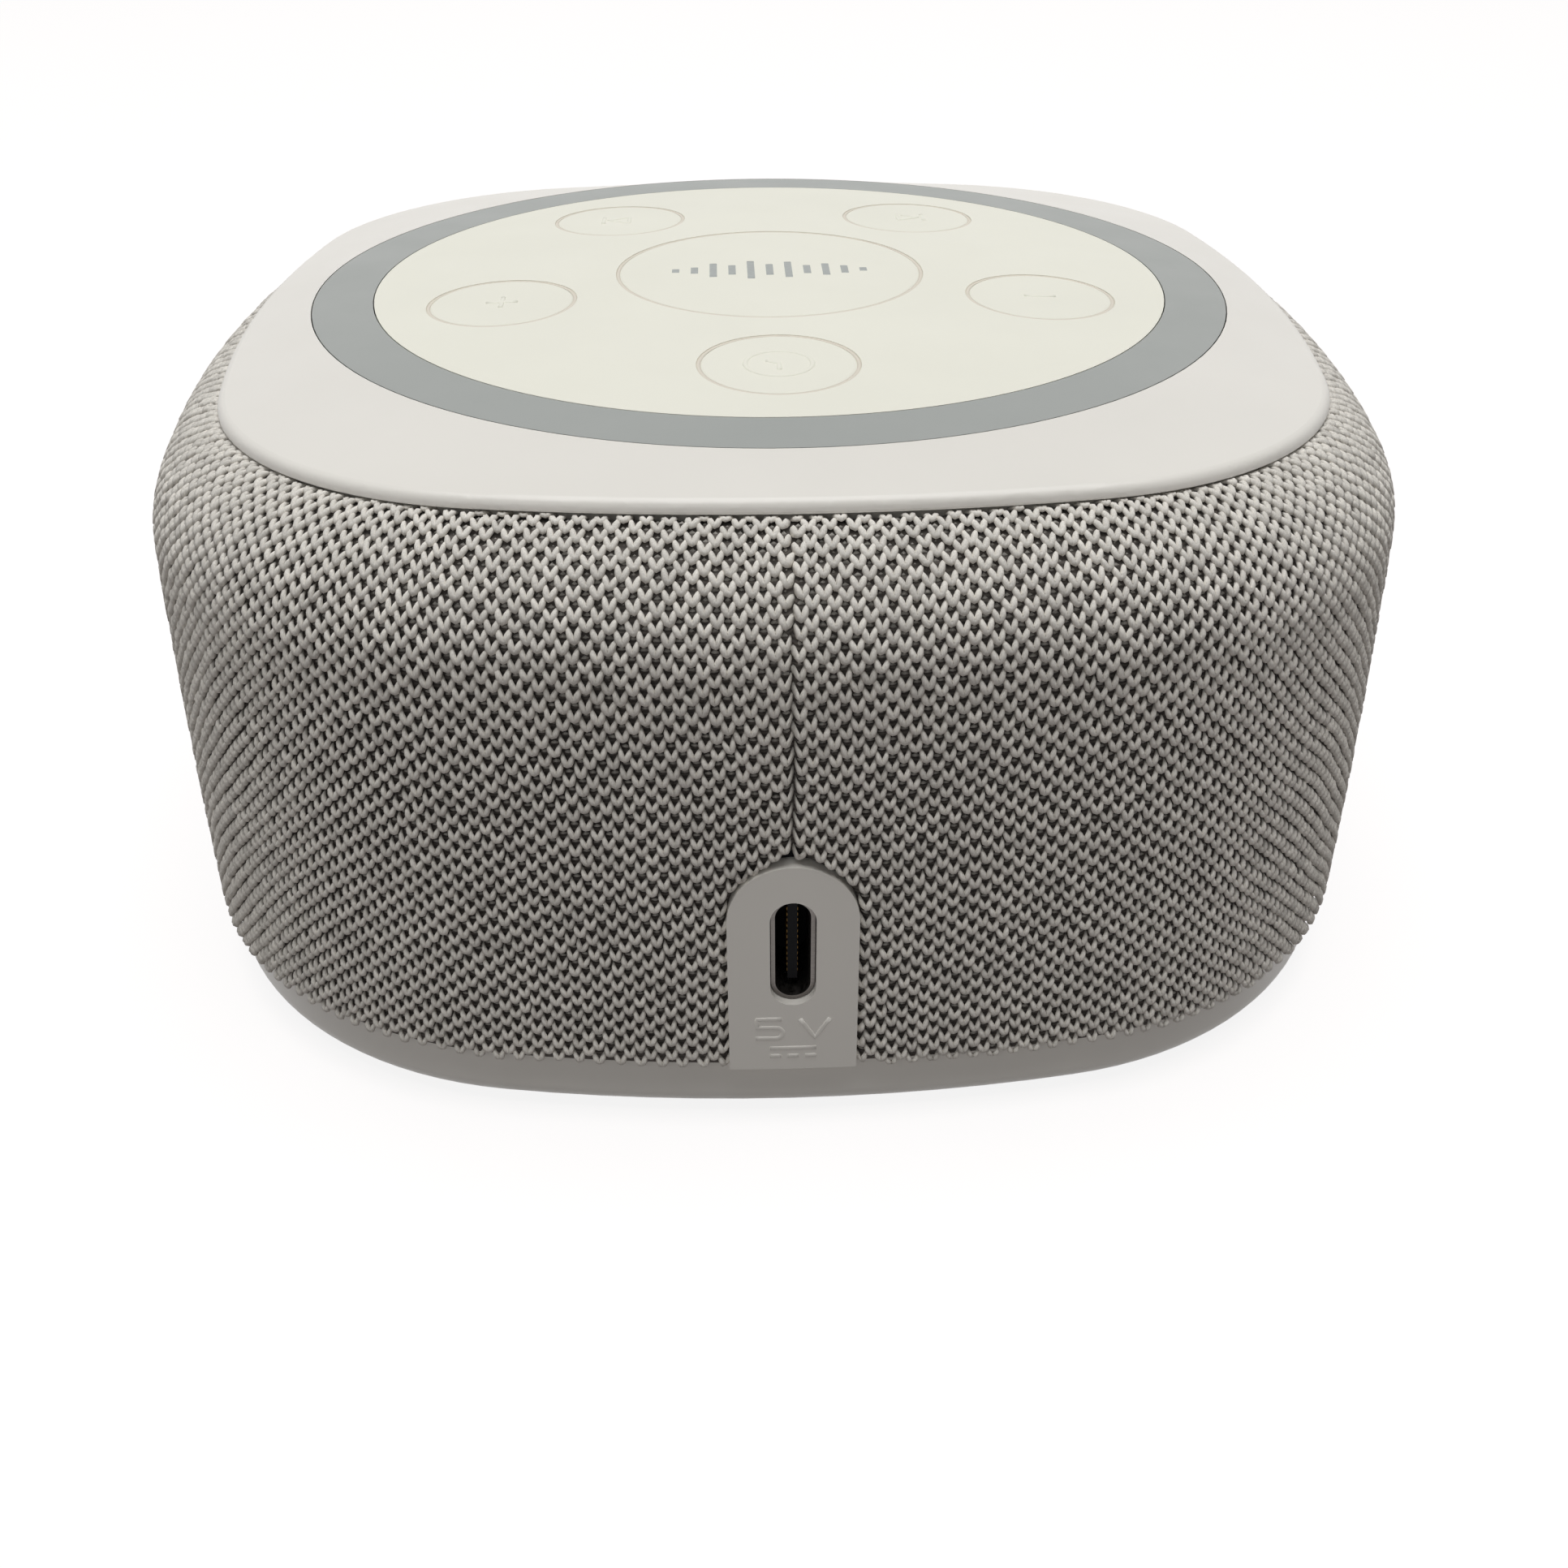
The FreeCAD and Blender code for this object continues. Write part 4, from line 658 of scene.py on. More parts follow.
@dataclass
class PlateOpening:
    """The opening in the knit round the socket's plate: a half-round arch with a point under the seam."""

    plate_z: float
    plate_point: float = 1.4 * MM
    half: float = 4.8 * MM
    crown_depth: float = 4.7 * MM
    peak: float = 0.9 * MM

    def __post_init__(self) -> None:
        """Work out the arch's middle, and where the point's slopes leave it."""
        arch_z = self.plate_z - self.plate_point
        self.crown_z = arch_z - self.crown_depth
        self.peak_z = arch_z + self.peak
        self.slope = math.acos(self.half / (self.peak_z - self.crown_z))

    def gap(self, x: np.ndarray, z: np.ndarray) -> np.ndarray:
        """Distance outside the opening, on the rear wall.

        Args:
            x: Sideways place.
            z: Height.

        Returns:
            The distance, below 0 inside the opening.
        """
        across, above = np.abs(x), z - self.crown_z
        bearing = np.arctan2(across, above)
        slope = across * math.sin(self.slope) + above * math.cos(self.slope) - self.half
        arch = np.hypot(across, above) - self.half
        return np.where(above < 0, across - self.half, np.where(bearing < self.slope, slope, arch))

    def top(self, x: np.ndarray) -> np.ndarray:
        """Height of the opening's edge over a sideways place.

        Args:
            x: Sideways place, inside the opening.

        Returns:
            The height.
        """
        across = np.minimum(np.abs(x), self.half)
        turn_x = self.half * math.sin(self.slope)
        slope = (self.half - across * math.sin(self.slope)) / math.cos(self.slope)
        arch = np.sqrt(np.maximum(self.half**2 - across**2, 0.0))
        return self.crown_z + np.where(across < turn_x, slope, arch)


@dataclass
class Stitch:
    """One stitch: a fat V of yarn whose tips go under its neighbours, and a loop over the hole above it."""

    sides: int = 6
    line: tuple[YarnPoint, ...] = (
        (0.0, -0.35, 0.02, 0.195),
        (0.16, -0.25, 0.045, 0.235),
        (0.28, -0.01, 0.035, 0.24),
        (0.375, 0.21, -0.05, 0.195),
        (0.435, 0.38, -0.22, 0.11),
    )
    tip: Place = (0.48, 0.55, -0.40)
    # Painted shade on the tips, where they go under the neighbours
    tip_shade: float = 0.72
    bridge: tuple[YarnPoint, ...] = (
        (-0.24, 0.46, -0.42, 0.08),
        (0.0, 0.54, -0.33, 0.14),
        (0.24, 0.46, -0.42, 0.08),
    )
    bridge_end: Place = (0.32, 0.45, -0.5)
    bridge_sides: int = 4
    # Painted shade on the loop over the hole
    bridge_shade: float = 0.6

    def ring(self, centre: np.ndarray, ahead: np.ndarray, radius: float, sides: int) -> np.ndarray:
        """Points of one ring round the yarn.

        Args:
            centre: Middle of the ring.
            ahead: Direction of the yarn.
            radius: Radius of the yarn.
            sides: Points in the ring.

        Returns:
            The points, one row each.
        """
        ahead = ahead / np.linalg.norm(ahead)
        out = np.array([0.0, 0.0, 1.0]) - ahead * ahead[2]
        out = out / np.linalg.norm(out)
        across = np.cross(ahead, out)
        turns = np.arange(sides) * 2 * math.pi / sides
        return centre + radius * (np.outer(np.cos(turns), across) + np.outer(np.sin(turns), out))

    def yarn(self, line: Sequence[YarnPoint], ends: Sequence[Place], sides: int) -> Mesh:
        """A tapered tube with pointed ends.

        Args:
            line: Middle points with the yarn's radius at each.
            ends: The two end points.
            sides: Points in a ring.

        Returns:
            Points and triangles.
        """
        middle = np.array([p[:3] for p in line])
        whole = np.vstack([ends[0], middle, ends[1]])
        aheads = whole[2:] - whole[:-2]
        rings = [self.ring(m, ahead, p[3], sides) for m, ahead, p in zip(middle, aheads, line)]
        points = np.vstack([*rings, ends[0], ends[1]])
        last = (len(line) - 1) * sides
        around = np.arange(sides)
        follow = (around + 1) % sides
        first_cap = np.stack([np.full(sides, len(points) - 2), follow, around], -1)
        last_cap = np.stack([np.full(sides, len(points) - 1), last + around, last + follow], -1)
        return points, np.vstack([tube_triangles(len(line), sides, False), first_cap, last_cap])

    def both_sides(self, end: Place) -> tuple[Place, Place]:
        """A right end point with its mirror image before it."""
        return (-end[0], end[1], end[2]), end

    def template(self) -> tuple[np.ndarray, np.ndarray, np.ndarray]:
        """The whole stitch about its own middle, in millimetres.

        Returns:
            Points, triangles, and each point's painted shade: 1 on the V, darker at its tips and on the
            bridge.
        """
        right = list(self.line)
        left = [(-a, b, c, r) for a, b, c, r in reversed(right[1:])]
        vee, vee_faces = self.yarn(left + right, self.both_sides(self.tip), self.sides)
        bar, bar_faces = self.yarn(self.bridge, self.both_sides(self.bridge_end), self.bridge_sides)
        # Painted shade: full brightness on the V, darker at its tips and on the bridge
        tone = np.ones(len(vee))
        tone[: self.sides] = tone[-2 - self.sides :] = self.tip_shade
        tone = np.concatenate([tone, np.full(len(bar), self.bridge_shade)])
        return np.vstack([vee, bar]), np.vstack([vee_faces, bar_faces + len(vee)]), tone


@dataclass
class KnitCover:
    """The knitted cloth round the walls: a ground dark with painted shade, with every stitch of the yarn
    standing on it.
    """

    skin: BodySkin
    opening: PlateOpening
    stitch: Stitch = field(default_factory=Stitch)
    # Stitches and where they start and stop
    columns: int = 440
    row_rise: float = 1.389 * MM
    panels: int = 10
    first_row: float = 0.3 * MM
    lowest: float = 0.12 * MM
    over_top: float = 0.45 * MM
    plate_reach: float = 1 * MM
    plate_clearance: float = 0.08 * MM
    wall_breadth: float = 0.86
    shoulder_length: float = 0.26
    stretch_ramp: tuple[float, float] = (0.55, 0.35)
    yarn_depth: float = 0.24
    proudest: float = 0.04 * MM
    # Ground under them, dark with painted shade
    ground_lift: float = -0.78 * MM
    shoulder_lift: float = 0.26 * MM
    lift_ramp: tuple[float, float] = (0.6, 0.3)
    ground_sink: float = 0.5
    ground_thickness: float = 0.40 * MM
    ground_rows: tuple[int, int] = (14, 30)
    arch_steps: int = 33
    round_steps: int = 421
    # Dips at the seam, round the plate and at both edges
    seam_depth: float = 0.70 * MM
    seam_width: float = 0.20 * MM
    seam_start: float = 2 * MM
    seam_fade: float = 7 * MM
    seam_fade_reach: float = 8.4 * MM
    seam_fade_share: float = 0.6
    tuck_depth: float = 0.40 * MM
    tuck_width: float = 0.28 * MM
    top_roll: float = 0.5 * MM
    top_dip: float = 0.16 * MM
    foot_roll: float = 0.3 * MM
    foot_dip: float = 0.15 * MM
    # Slow drift of columns and rows
    drift: float = 0.10 * MM
    drift_length: float = 2.3 * MM
    drift_swing: float = 3.0
    ripples: int = 26
    ripple_length: float = 5 * MM
    sway: float = 0.16 * MM
    sways: int = 11
    parting_reach: float = 1.5 * MM
    seam_lean: float = 0.035
    lean_reach: float = 28 * MM
    # Scatter from stitch to stitch
    size_scatter: float = 0.045
    turn_scatter: float = 0.07
    place_scatter: float = 0.035
    tone: float = 0.92
    tone_scatter: float = 0.06
    darkest: float = 0.6
    seed: int = 7

    def sink(self, along: np.ndarray, up: np.ndarray) -> np.ndarray:
        """How far the cloth dips at the seam, round the plate and at its two edges.

        Args:
            along: Distance round the outline.
            up: Distance up the profile.

        Returns:
            The depth of the dip.
        """
        z = self.skin.profile(up)[1]
        gap = self.opening.gap(along, z)
        above = ramp(z, self.opening.crown_z, self.seam_start)
        fade = ramp(up, self.skin.height - self.seam_fade_reach, self.seam_fade)
        shallow = 1.0 - self.seam_fade_share * fade
        seam = self.seam_depth * np.exp(-((along / self.seam_width) ** 2)) * above * shallow
        rear = np.abs(along) < 2 * self.opening.half
        tuck = self.tuck_depth * np.exp(-((np.maximum(gap, 0.0) / self.tuck_width) ** 2)) * rear
        over = np.clip((up - self.skin.height) / self.top_roll + 1.0, 0.0, 2.0)
        under = np.clip(1.0 - up / self.foot_roll, 0.0, 2.0)
        return np.maximum(seam, tuck) + self.top_dip * over**2 + self.foot_dip * under**2

    def wander(self, along: np.ndarray, up: np.ndarray) -> tuple[np.ndarray, np.ndarray]:
        """The slow drift of the columns and rows over the body.

        Args:
            along: Distance round the outline.
            up: Distance up the profile.

        Returns:
            The shifts along and up.
        """
        turn = along * 2 * math.pi / self.skin.round
        shift = self.drift * np.sin(up / self.drift_length + self.drift_swing * np.sin(2 * turn))
        ripple = np.sin(self.ripples * turn + up / self.ripple_length)
        rise = self.sway * np.sin(self.sways * turn) + self.drift * ripple
        lean = self.seam_lean * along * np.exp(-((along / self.lean_reach) ** 2)) * (along > 0)
        parting = self.drift * np.sign(along) * np.exp(-((along / self.parting_reach) ** 2))
        return shift + parting, rise + lean

    def stretch(self, up: np.ndarray) -> tuple[np.ndarray, np.ndarray]:
        """How the stitches are drawn out: short and narrow on the wall, long over the shoulder.

        Args:
            up: Distance up the profile.

        Returns:
            Factors on their width and their length.
        """
        shoulder = ramp(up / self.skin.height, *self.stretch_ramp)
        wide = self.wall_breadth + (1.0 - self.wall_breadth) * shoulder
        return wide, 1.0 + self.shoulder_length * shoulder

    def places(self) -> tuple[np.ndarray, np.ndarray]:
        """Middles of all the stitches.

        Returns:
            Distances along and up.
        """
        pitch = self.skin.round / self.columns
        rows = int(self.skin.height / self.row_rise) + 2
        column, row = np.meshgrid(np.arange(self.columns), np.arange(-1, rows), indexing="ij")
        along = (column + 0.5) * pitch - self.skin.round / 2
        up = (row + 0.5 * (column % 2)) * self.row_rise + self.first_row
        shift, rise = self.wander(along, up)
        along, up = (along + shift).ravel(), (up + rise).ravel()
        inside = (up > self.lowest) & (up < self.skin.height + self.over_top)
        rear = np.abs(along) < self.opening.half + self.plate_reach
        clear = self.opening.gap(along, self.skin.profile(up)[1]) > self.plate_clearance
        keep = inside & (clear | ~rear)
        return along[keep], up[keep]

    def ground(self) -> bpy.types.Object:
        """Make the ground, dark with painted shade, as one stretched sheet with the plate's opening cut
        out.

        Returns:
            The sheet.
        """
        half = self.opening.half
        inner = np.linspace(-half, half, self.arch_steps)
        outer = np.linspace(half, self.skin.round - half, self.round_steps)[1:-1]
        along = np.concatenate([inner, outer])
        low_up = self.opening.crown_z - self.skin.rim_z
        low_rows, high_rows = self.ground_rows
        inside = np.arange(len(along)) < len(inner)
        start = np.where(inside, self.opening.top(along) - self.skin.rim_z, low_up)
        low = np.linspace(0.0, 1.0, low_rows, endpoint=False)[:, None] * low_up + 0 * along
        high = start + np.linspace(0.0, 1.0, high_rows)[:, None] * (self.skin.height - start)
        up = np.vstack([low, high])
        run = np.broadcast_to(along, up.shape)
        centred = np.where(run > self.skin.round / 2, run - self.skin.round, run)
        shoulder = ramp(up / self.skin.height, *self.lift_ramp)
        lift = self.ground_lift + self.shoulder_lift * shoulder - self.ground_sink * self.sink(centred, up)
        points = self.skin.lay(run, up, lift).reshape(-1, 3)
        count = len(along)
        i, j = np.meshgrid(np.arange(len(up) - 1), np.arange(count), indexing="ij")
        follow = (j + 1) % count
        cut = (i < low_rows) & (j < len(inner) - 1)
        a, b, c, d = i * count + j, i * count + follow, (i + 1) * count + follow, (i + 1) * count + j
        quads = np.stack([a, d, c, b], -1)[~cut]
        triangles = np.vstack([quads[:, [0, 1, 2]], quads[:, [0, 2, 3]]])
        used, renumbered = np.unique(triangles, return_inverse=True)
        sheet = mesh_piece("knit_ground", points[used], renumbered.reshape(-1, 3))
        sheet.data.materials.append(KNIT_GROUND.mix())
        thick = sheet.modifiers.new("thickness", "SOLIDIFY")
        thick.thickness = self.ground_thickness
        thick.offset = -1.0
        return sheet

    def stitches(self) -> list[bpy.types.Object]:
        """Make all the stitches, panel by panel.

        Returns:
            The panels.
        """
        rng = np.random.default_rng(self.seed)
        along, up = self.places()
        points, triangles, painted_shade = self.stitch.template()
        made = []
        order = np.argsort(along, kind="stable")
        for number, chosen in enumerate(np.array_split(order, self.panels), 1):
            count = len(chosen)
            size = 1.0 + rng.normal(0.0, self.size_scatter, (count, 1, 3))
            turn = rng.normal(0.0, self.turn_scatter, (count, 1))
            nudge = rng.normal(0.0, self.place_scatter, (count, 1, 3))
            local = points[None] * size + nudge
            wide, long = self.stretch(up[chosen])
            local[..., 0] *= wide[:, None]
            local[..., 1] *= long[:, None]
            a = local[..., 0] * np.cos(turn) - local[..., 1] * np.sin(turn)
            b = local[..., 0] * np.sin(turn) + local[..., 1] * np.cos(turn)
            run = along[chosen, None] + a * MM
            rise = up[chosen, None] + b * MM
            lift = (local[..., 2] - self.yarn_depth) * MM - self.sink(run, rise)
            placed = self.skin.lay(run, rise, np.minimum(lift, self.proudest)).reshape(-1, 3)
            faces = (triangles[None] + np.arange(count)[:, None, None] * len(points)).reshape(-1, 3)
            panel = mesh_piece(f"knit_stitches_{number}", placed, faces)
            # Random tone from stitch to stitch, times the painted shade on the tips and loops
            tone = self.tone + rng.normal(0.0, self.tone_scatter, (count, 1))
            tone = np.clip(tone, self.darkest, 1.0)
            tone_and_shade = panel.data.attributes.new("tone_and_shade", "FLOAT", "POINT")
            tone_and_shade.data.foreach_set("value", (tone * painted_shade).astype(np.float32).ravel())
            panel.data.materials.append(FINISHES[Slot.KNIT].mix())
            made.append(panel)
        return made

    def build(self) -> list[bpy.types.Object]:
        """Returns:
            The pieces.
        """
        sheet = self.ground()
        panels = self.stitches()
        for piece in (sheet, *panels):
            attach(piece, CASE)
        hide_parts("knit_sleeve")
        return [sheet, *panels]


@dataclass
class Dome:
    """The crowned top that the cap, the ring, the panel and the buttons share."""

    top_z: float
    radius: float = 624 * MM

    def lay(self, x: np.ndarray, y: np.ndarray, lift: np.ndarray) -> np.ndarray:
        """Put points on the dome.

        Args:
            x: Place along X.
            y: Place along Y.
            lift: Distance up from the dome.

        Returns:
            The points, one row each.
        """
        z = self.top_z - self.radius + np.sqrt(self.radius**2 - x**2 - y**2)
        return np.stack([x, y, z + lift], -1)


@dataclass
class Ridge:
    """A low rounded line that stands on a surface, as on moulded marks."""

    width: float = 0.34 * MM
    height: float = 0.05 * MM
    foot: float = 0.06 * MM

    def section(self) -> np.ndarray:
        """Half-round section with a sunken foot.

        Returns:
            Sideways place and lift, one row each, all the way round.
        """
        turns = np.linspace(math.pi, 0.0, 7)
        crown = np.stack([np.cos(turns) * self.width / 2, np.sin(turns) * self.height], -1)
        foot = np.array([[self.width / 2, -self.foot], [-self.width / 2, -self.foot]])
        return np.vstack([crown, foot])

    def run(self, path: np.ndarray, closed: bool, surface: SurfaceMap) -> Mesh:
        """Carry the section along a path on a surface.

        Args:
            path: Points of the path in the surface's own two directions.
            closed: Whether the path joins itself.
            surface: Puts two directions and a lift into space.

        Returns:
            Points and triangles.
        """
        ahead = np.roll(path, -1, 0) - np.roll(path, 1, 0)
        if not closed:
            ahead[0], ahead[-1] = path[1] - path[0], path[-1] - path[-2]
        ahead = ahead / np.linalg.norm(ahead, axis=1, keepdims=True)
        side = np.stack([-ahead[:, 1], ahead[:, 0]], -1)
        section = self.section()
        flat = path[:, None] + side[:, None] * section[None, :, :1]
        lift = np.broadcast_to(section[:, 1], flat.shape[:2])
        points = surface(flat[..., 0], flat[..., 1], lift).reshape(-1, 3)
        sides = len(section)
        faces = [tube_triangles(len(path), sides, closed)]
        if not closed:
            fan = np.array([[0, i, i + 1] for i in range(1, sides - 1)])
            faces += [fan[:, ::-1], fan + (len(path) - 1) * sides]
        return points, np.vstack(faces)

    def piece(self, name: str, paths: Sequence[Path], surface: SurfaceMap) -> bpy.types.Object:
        """Make one piece of several lines.

        Args:
            name: Name of the piece.
            paths: Each path, and whether it joins itself.
            surface: Puts two directions and a lift into space.

        Returns:
            The piece.
        """
        points: list[np.ndarray] = []
        faces: list[np.ndarray] = []
        start = 0
        for path, closed in paths:
            places, corners = self.run(path, closed, surface)
            points.append(places)
            faces.append(corners + start)
            start += len(places)
        return mesh_piece(name, np.vstack(points), np.vstack(faces))


def line(*ends: tuple[float, float], steps: int = 4) -> np.ndarray:
    """A polyline in millimetres with extra points on every run.

    Args:
        ends: Its corners.
        steps: Points added to a run.

    Returns:
        The points in metres.
    """
    runs = [np.linspace(a, b, steps, endpoint=False) for a, b in zip(ends, ends[1:])]
    return np.vstack([*runs, [ends[-1]]]) * MM


def arc(
    radius: float, first: float, last: float, centre: tuple[float, float] = (0.0, 0.0), steps: int = 40
) -> np.ndarray:
    """An arc in millimetres and degrees.

    Args:
        radius: Its radius.
        first: Angle of its first point.
        last: Angle past its last point.
        centre: Its centre.
        steps: Number of points.

    Returns:
        The points in metres.
    """
    turns = np.radians(np.linspace(first, last, steps, endpoint=abs(last - first) < 360))
    return (np.stack([np.cos(turns), np.sin(turns)], -1) * radius + centre) * MM


class KeyMark(Enum):
    """The low marks moulded into the buttons, as paths about the button's middle."""

    TIMER = "timer"
    QUIETER = "volume_down"
    LOUDER = "volume_up"
    BACK = "previous_sound"
    FORWARD = "next_sound"

    def paths(self) -> list[Path]:
        """Lines of the mark.

        Returns:
            Each line, and whether it joins itself.
        """
        if self is KeyMark.TIMER:
            return [(arc(2.5, 0, 360), True), (line((0.0, 1.3), (0.0, 0.0), (0.9, -0.5)), False)]
        if self is KeyMark.QUIETER:
            return [(line((-1.3, 0.0), (1.3, 0.0)), False)]
        if self is KeyMark.LOUDER:
            return [(line((-1.3, 0.0), (1.3, 0.0)), False), (line((0.0, -1.3), (0.0, 1.3)), False)]
        side = -1.0 if self is KeyMark.BACK else 1.0
        arrow = line((side * 1.0, 0.0), (-side * 0.9, 1.2), (-side * 0.9, -1.2), (side * 1.0, 0.0))[:-1]
        return [(arrow, True), (line((side * 1.5, -1.2), (side * 1.5, 1.2)), False)]


@dataclass
class ButtonPanel:
    """Marks on the buttons, the soft seals round them and the printed bars on the middle one."""

    dome: Dome
    flange: float = 1.0 * MM
    gap: float = 0.22 * MM
    seal_depth: float = 0.5 * MM
    seal_steps: int = 128
    key_ease: float = 0.03 * MM
    panel_ease: float = 0.005 * MM
    lip_reach: float = 0.12 * MM
    lip_top: tuple[float, float] = (-0.03 * MM, -0.04 * MM)
    lip_foot: tuple[float, float] = (-0.055 * MM, -0.12 * MM)
    ink_height: float = 0.012 * MM
    ink_foot: float = 0.01 * MM
    mark_ridge: Ridge = field(default_factory=lambda: Ridge(width=0.4 * MM, height=0.08 * MM))
    bar_pitch: float = 1.6 * MM
    bar_width: float = 0.62 * MM
    bars: tuple[float, ...] = (1.0, 2.2, 3.4, 2.4, 4.6, 3.2, 5.2, 2.8, 4.0, 1.8, 1.0)

    def key(self, name: str) -> tuple[float, float, float]:
        """Read a button's place from the frame.

        Args:
            name: Name of the button, without its ending.

        Returns:
            x and y of its middle, and the radius of its face.
        """
        low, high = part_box(f"{name}_button")
        return (low.x + high.x) / 2, (low.y + high.y) / 2, (high.x - low.x) / 2 - self.flange

    def mark(self, mark: KeyMark) -> bpy.types.Object:
        """Make the low mark on one button.

        Args:
            mark: Which mark.

        Returns:
            The piece.
        """
        x, y, _ = self.key(mark.value)

        def surface(a: np.ndarray, b: np.ndarray, lift: np.ndarray) -> np.ndarray:
            """Place a point of the mark on the button's face."""
            return self.dome.lay(x + a, y + b, lift)

        piece = self.mark_ridge.piece(f"{mark.value}_mark", mark.paths(), surface)
        piece.data.materials.append(FINISHES[Slot.KEY].mix())
        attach(piece, f"{mark.value}_key")
        return piece

    def seal(self, name: str) -> bpy.types.Object:
        """Make the soft sleeve in the gap round a button, with a thin lip over the button's edge; its
        darker beige is painted shade in the groove.

        Args:
            name: Name of the button.

        Returns:
            The piece.
        """
        x, y, radius = self.key(name)
        turns = np.linspace(0.0, 2 * math.pi, self.seal_steps, endpoint=False)
        tip, inner = radius - self.lip_reach, radius + self.key_ease
        outer = radius + self.gap - self.panel_ease
        section = [(tip, self.lip_top[0]), (outer, self.lip_top[1]), (outer, -self.seal_depth)]
        section += [(inner, -self.seal_depth), (inner, self.lip_foot[1]), (tip, self.lip_foot[0])]
        reach, lift = np.array(section).T
        round_x, round_y = np.outer(np.cos(turns), reach), np.outer(np.sin(turns), reach)
        points = self.dome.lay(x + round_x, y + round_y, lift + 0 * round_x).reshape(-1, 3)
        piece = mesh_piece(f"{name}_seal", points, tube_triangles(len(turns), len(section), True)[:, ::-1])
        piece.data.materials.append(KEY_SEAL.mix())
        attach(piece, CASE)
        return piece

    def print(self) -> bpy.types.Object:
        """Make the row of rounded bars printed on the middle button.

        Returns:
            The piece.
        """
        ink = Ridge(width=self.bar_width, height=self.ink_height, foot=self.ink_foot)
        start = -(len(self.bars) - 1) / 2
        paths = []
        for i, tall in enumerate(self.bars):
            x = (start + i) * self.bar_pitch / MM
            paths.append((line((x, -tall / 2), (x, tall / 2), steps=8), False))
        piece = ink.piece("power_print", paths, self.dome.lay)
        piece.data.materials.append(BAR_INK.mix())
        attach(piece, "power_key")
        return piece

    def build(self) -> list[bpy.types.Object]:
        """Build every mark, seal and the print.

        Returns:
            The pieces.
        """
        marks = [self.mark(mark) for mark in KeyMark]
        seals = [self.seal(name) for name in ("power", *(mark.value for mark in KeyMark))]
        return [*marks, *seals, self.print()]


@dataclass
class SocketPlate:
    """Low moulded marks under the rear socket: a 5 V figure and the sign for direct current."""

    skin: BodySkin
    inset: float = 0.1 * MM
    centre_z: float = 9.6 * MM

    def paths(self) -> list[Path]:
        """Lines of the marks, read from the rear.

        Returns:
            Each line, and whether it joins itself.
        """
        five = [line((0.9, 0.9), (-0.9, 0.9), (-0.9, 0.1), (0.5, 0.1)), arc(0.5, 90, -90, (0.5, -0.4), 12)]
        figure = np.vstack([five[0], five[1][1:], line((0.5, -0.9), (-1.0, -0.9))[1:]])
        figure = figure + np.array([-1.75, 0]) * MM
        volt = line((0.5, 0.9), (1.6, -0.9), (2.7, 0.9))
        bars = [line((-1.7, -1.85), (1.7, -1.85))]
        bars += [line((x - 0.4, -2.6), (x + 0.4, -2.6)) for x in (-1.3, 0.0, 1.3)]
        return [(figure, False), (volt, False), *[(bar, False) for bar in bars]]

    def build(self) -> list[bpy.types.Object]:
        """Build the marks on the plate.

        Returns:
            The pieces.
        """

        def surface(a: np.ndarray, b: np.ndarray, lift: np.ndarray) -> np.ndarray:
            """Place a point of the marks on the plate's face."""
            return self.skin.lay(-a, self.centre_z - self.skin.rim_z + b, lift - self.inset)

        piece = Ridge().piece("socket_plate_marks", self.paths(), surface)
        piece.data.materials.append(FINISHES[Slot.WHITE].mix())
        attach(piece, CASE)
        return [piece]


@dataclass
class CaseParts:
    """Every solid part of the frame, each given the finish of its slot."""

    nodes: dict[str, bpy.types.Object]

    def dress(self) -> list[bpy.types.Object]:
        """Give every node its finish.

        Returns:
            The nodes.
        """
        for node in self.nodes.values():
            for holder in node.material_slots:
                holder.material = FINISHES[Slot(holder.material.name.split(".")[0])].mix()
        return list(self.nodes.values())


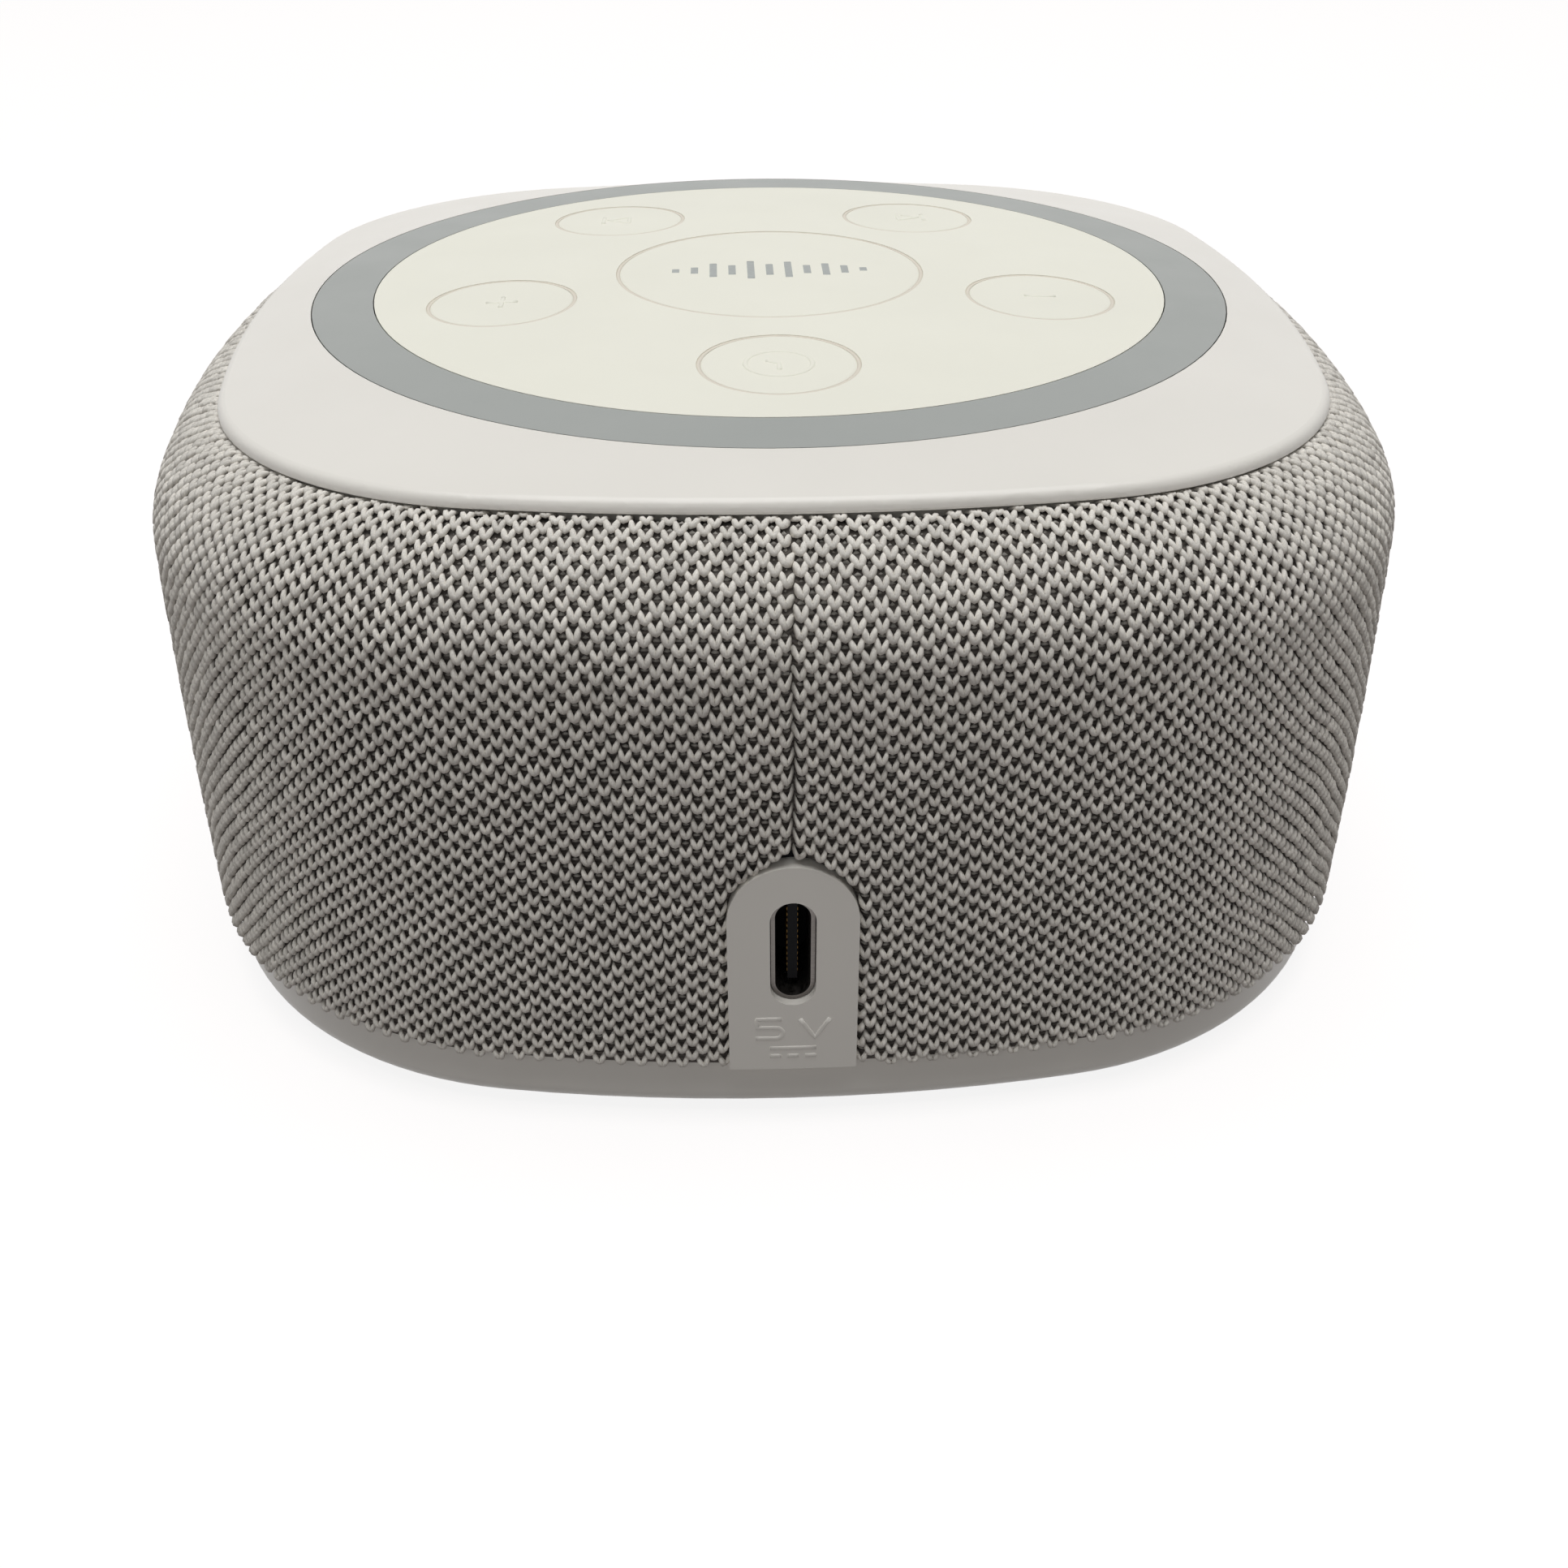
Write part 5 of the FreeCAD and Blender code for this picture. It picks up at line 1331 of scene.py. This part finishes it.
@dataclass
class Studio:
    """Pale floor, soft light from above and the camera at the rear."""

    floor_size: float = 6.0
    floor_colour: Colour = (0.22, 0.20, 0.195)
    floor_glow: float = 0.86
    ambient: float = 0.13
    key_place: Place = (0.0, 0.05, 1.3)
    key_size: float = 1.0
    key_power: float = 12.9
    fill_place: Place = (0.35, 1.2, 0.7)
    fill_size: float = 0.8
    fill_power: float = 1.7
    camera_place: Place = (4.0 * MM, 142.999 * MM, 90.269 * MM)
    heading: float = math.radians(2.075)
    pitch: float = math.radians(-32.697)
    roll: float = math.radians(-0.066)
    lens: float = 38.18

    def floor(self) -> bpy.types.Object:
        """Make the floor, which looks white and keeps the object's shadow.

        Returns:
            The floor.
        """
        half = self.floor_size / 2
        mesh = bpy.data.meshes.new("floor")
        corners = [(-half, -half, 0), (half, -half, 0), (half, half, 0), (-half, half, 0)]
        mesh.from_pydata(corners, [], [(0, 1, 2, 3)])
        floor = bpy.data.objects.new("floor", mesh)
        bpy.context.scene.collection.objects.link(floor)
        material = bpy.data.materials.new("floor_white")
        material.use_nodes = True
        tree = material.node_tree
        tree.nodes.clear()
        cloth = tree.nodes.new("ShaderNodeBsdfDiffuse")
        cloth.inputs["Color"].default_value = (*self.floor_colour, 1.0)
        glow = tree.nodes.new("ShaderNodeEmission")
        seen = self.seen_directly(tree)
        share = tree.nodes.new("ShaderNodeMath")
        share.operation = "MULTIPLY"
        share.inputs[1].default_value = self.floor_glow
        tree.links.new(seen, share.inputs[0])
        tree.links.new(share.outputs[0], glow.inputs["Strength"])
        both = tree.nodes.new("ShaderNodeAddShader")
        output = tree.nodes.new("ShaderNodeOutputMaterial")
        tree.links.new(cloth.outputs[0], both.inputs[0])
        tree.links.new(glow.outputs[0], both.inputs[1])
        tree.links.new(both.outputs[0], output.inputs["Surface"])
        mesh.materials.append(material)
        return floor

    def seen_directly(self, tree: bpy.types.NodeTree) -> Socket:
        """A value that is 1 where the camera, a reflection or glass looks at the backdrop.

        Args:
            tree: The node tree that it is made in.

        Returns:
            The value.
        """
        path = tree.nodes.new("ShaderNodeLightPath")
        value = path.outputs["Is Camera Ray"]
        for name in ("Is Glossy Ray", "Is Transmission Ray"):
            either = tree.nodes.new("ShaderNodeMath")
            either.operation = "MAXIMUM"
            tree.links.new(value, either.inputs[0])
            tree.links.new(path.outputs[name], either.inputs[1])
            value = either.outputs[0]
        return value

    def world(self) -> None:
        """White to the eye, dim as a light."""
        world = bpy.data.worlds.new("studio")
        bpy.context.scene.world = world
        world.use_nodes = True
        tree = world.node_tree
        back = tree.nodes["Background"]
        back.inputs["Color"].default_value = (1.0, 0.99, 0.98, 1.0)
        strength = tree.nodes.new("ShaderNodeMapRange")
        strength.inputs["To Min"].default_value = self.ambient
        strength.inputs["To Max"].default_value = 1.0
        tree.links.new(self.seen_directly(tree), strength.inputs["Value"])
        tree.links.new(strength.outputs["Result"], back.inputs["Strength"])

    def lamp(self, name: str, place: Place, size: float, power: float) -> None:
        """Hang a square softbox that looks at the object.

        Args:
            name: Name of the lamp.
            place: Where it hangs, in metres.
            size: Length of its side.
            power: Its power in watts.
        """
        data = bpy.data.lights.new(name, "AREA")
        data.size = size
        data.energy = power
        lamp = bpy.data.objects.new(name, data)
        lamp.location = place
        lamp.rotation_euler = (Vector((0, 0, 0.03)) - Vector(place)).to_track_quat("-Z", "Y").to_euler()
        bpy.context.scene.collection.objects.link(lamp)

    def camera(self) -> None:
        """Set the camera up behind the object, looking down at its rear."""
        data = bpy.data.cameras.new("camera")
        data.lens = self.lens
        data.sensor_width = 36.0
        data.clip_start = 0.005
        camera = bpy.data.objects.new("camera", data)
        flat = math.cos(self.pitch)
        north = Vector((-math.sin(self.heading), -math.cos(self.heading), 0.0))
        ahead = north * flat + Vector((0.0, 0.0, math.sin(self.pitch)))
        right = Vector((-math.cos(self.heading), math.sin(self.heading), 0.0))
        up = right.cross(ahead)
        cos, sin = math.cos(self.roll), math.sin(self.roll)
        right, up = right * cos + up * sin, up * cos - right * sin
        turn = Matrix((right, up, -ahead)).transposed().to_4x4()
        camera.matrix_world = Matrix.Translation(self.camera_place) @ turn
        bpy.context.scene.collection.objects.link(camera)
        bpy.context.scene.camera = camera

    def build(self) -> None:
        """Set up the floor, the light and the camera."""
        bpy.context.scene.view_settings.view_transform = "Standard"
        self.floor()
        self.world()
        self.lamp("overhead_softbox", self.key_place, self.key_size, self.key_power)
        self.lamp("rear_fill", self.fill_place, self.fill_size, self.fill_power)
        self.camera()


def main() -> None:
    """Build every part in order and report each piece."""
    logging.basicConfig(level=logging.INFO, format="%(name)s: %(message)s")
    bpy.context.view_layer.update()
    knit_low, knit_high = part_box("knit_sleeve")
    skin = BodySkin(half=knit_high.x, rim_z=knit_low.z)
    opening = PlateOpening(plate_z=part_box("port_plate")[1].z)
    LOG.info("outline %.4f m round, %.4f m up", skin.round, skin.height)
    for piece in CaseParts(frame["nodes"]).dress():
        LOG.info("dressed %s", piece.name)
    dome = Dome(top_z=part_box("power_button")[1].z)
    for part in (KnitCover(skin, opening), ButtonPanel(dome), SocketPlate(skin)):
        for piece in part.build():
            LOG.info("built %s with %d faces", piece.name, len(piece.data.polygons))
    Studio().build()


if __name__ == "__main__":
    main()
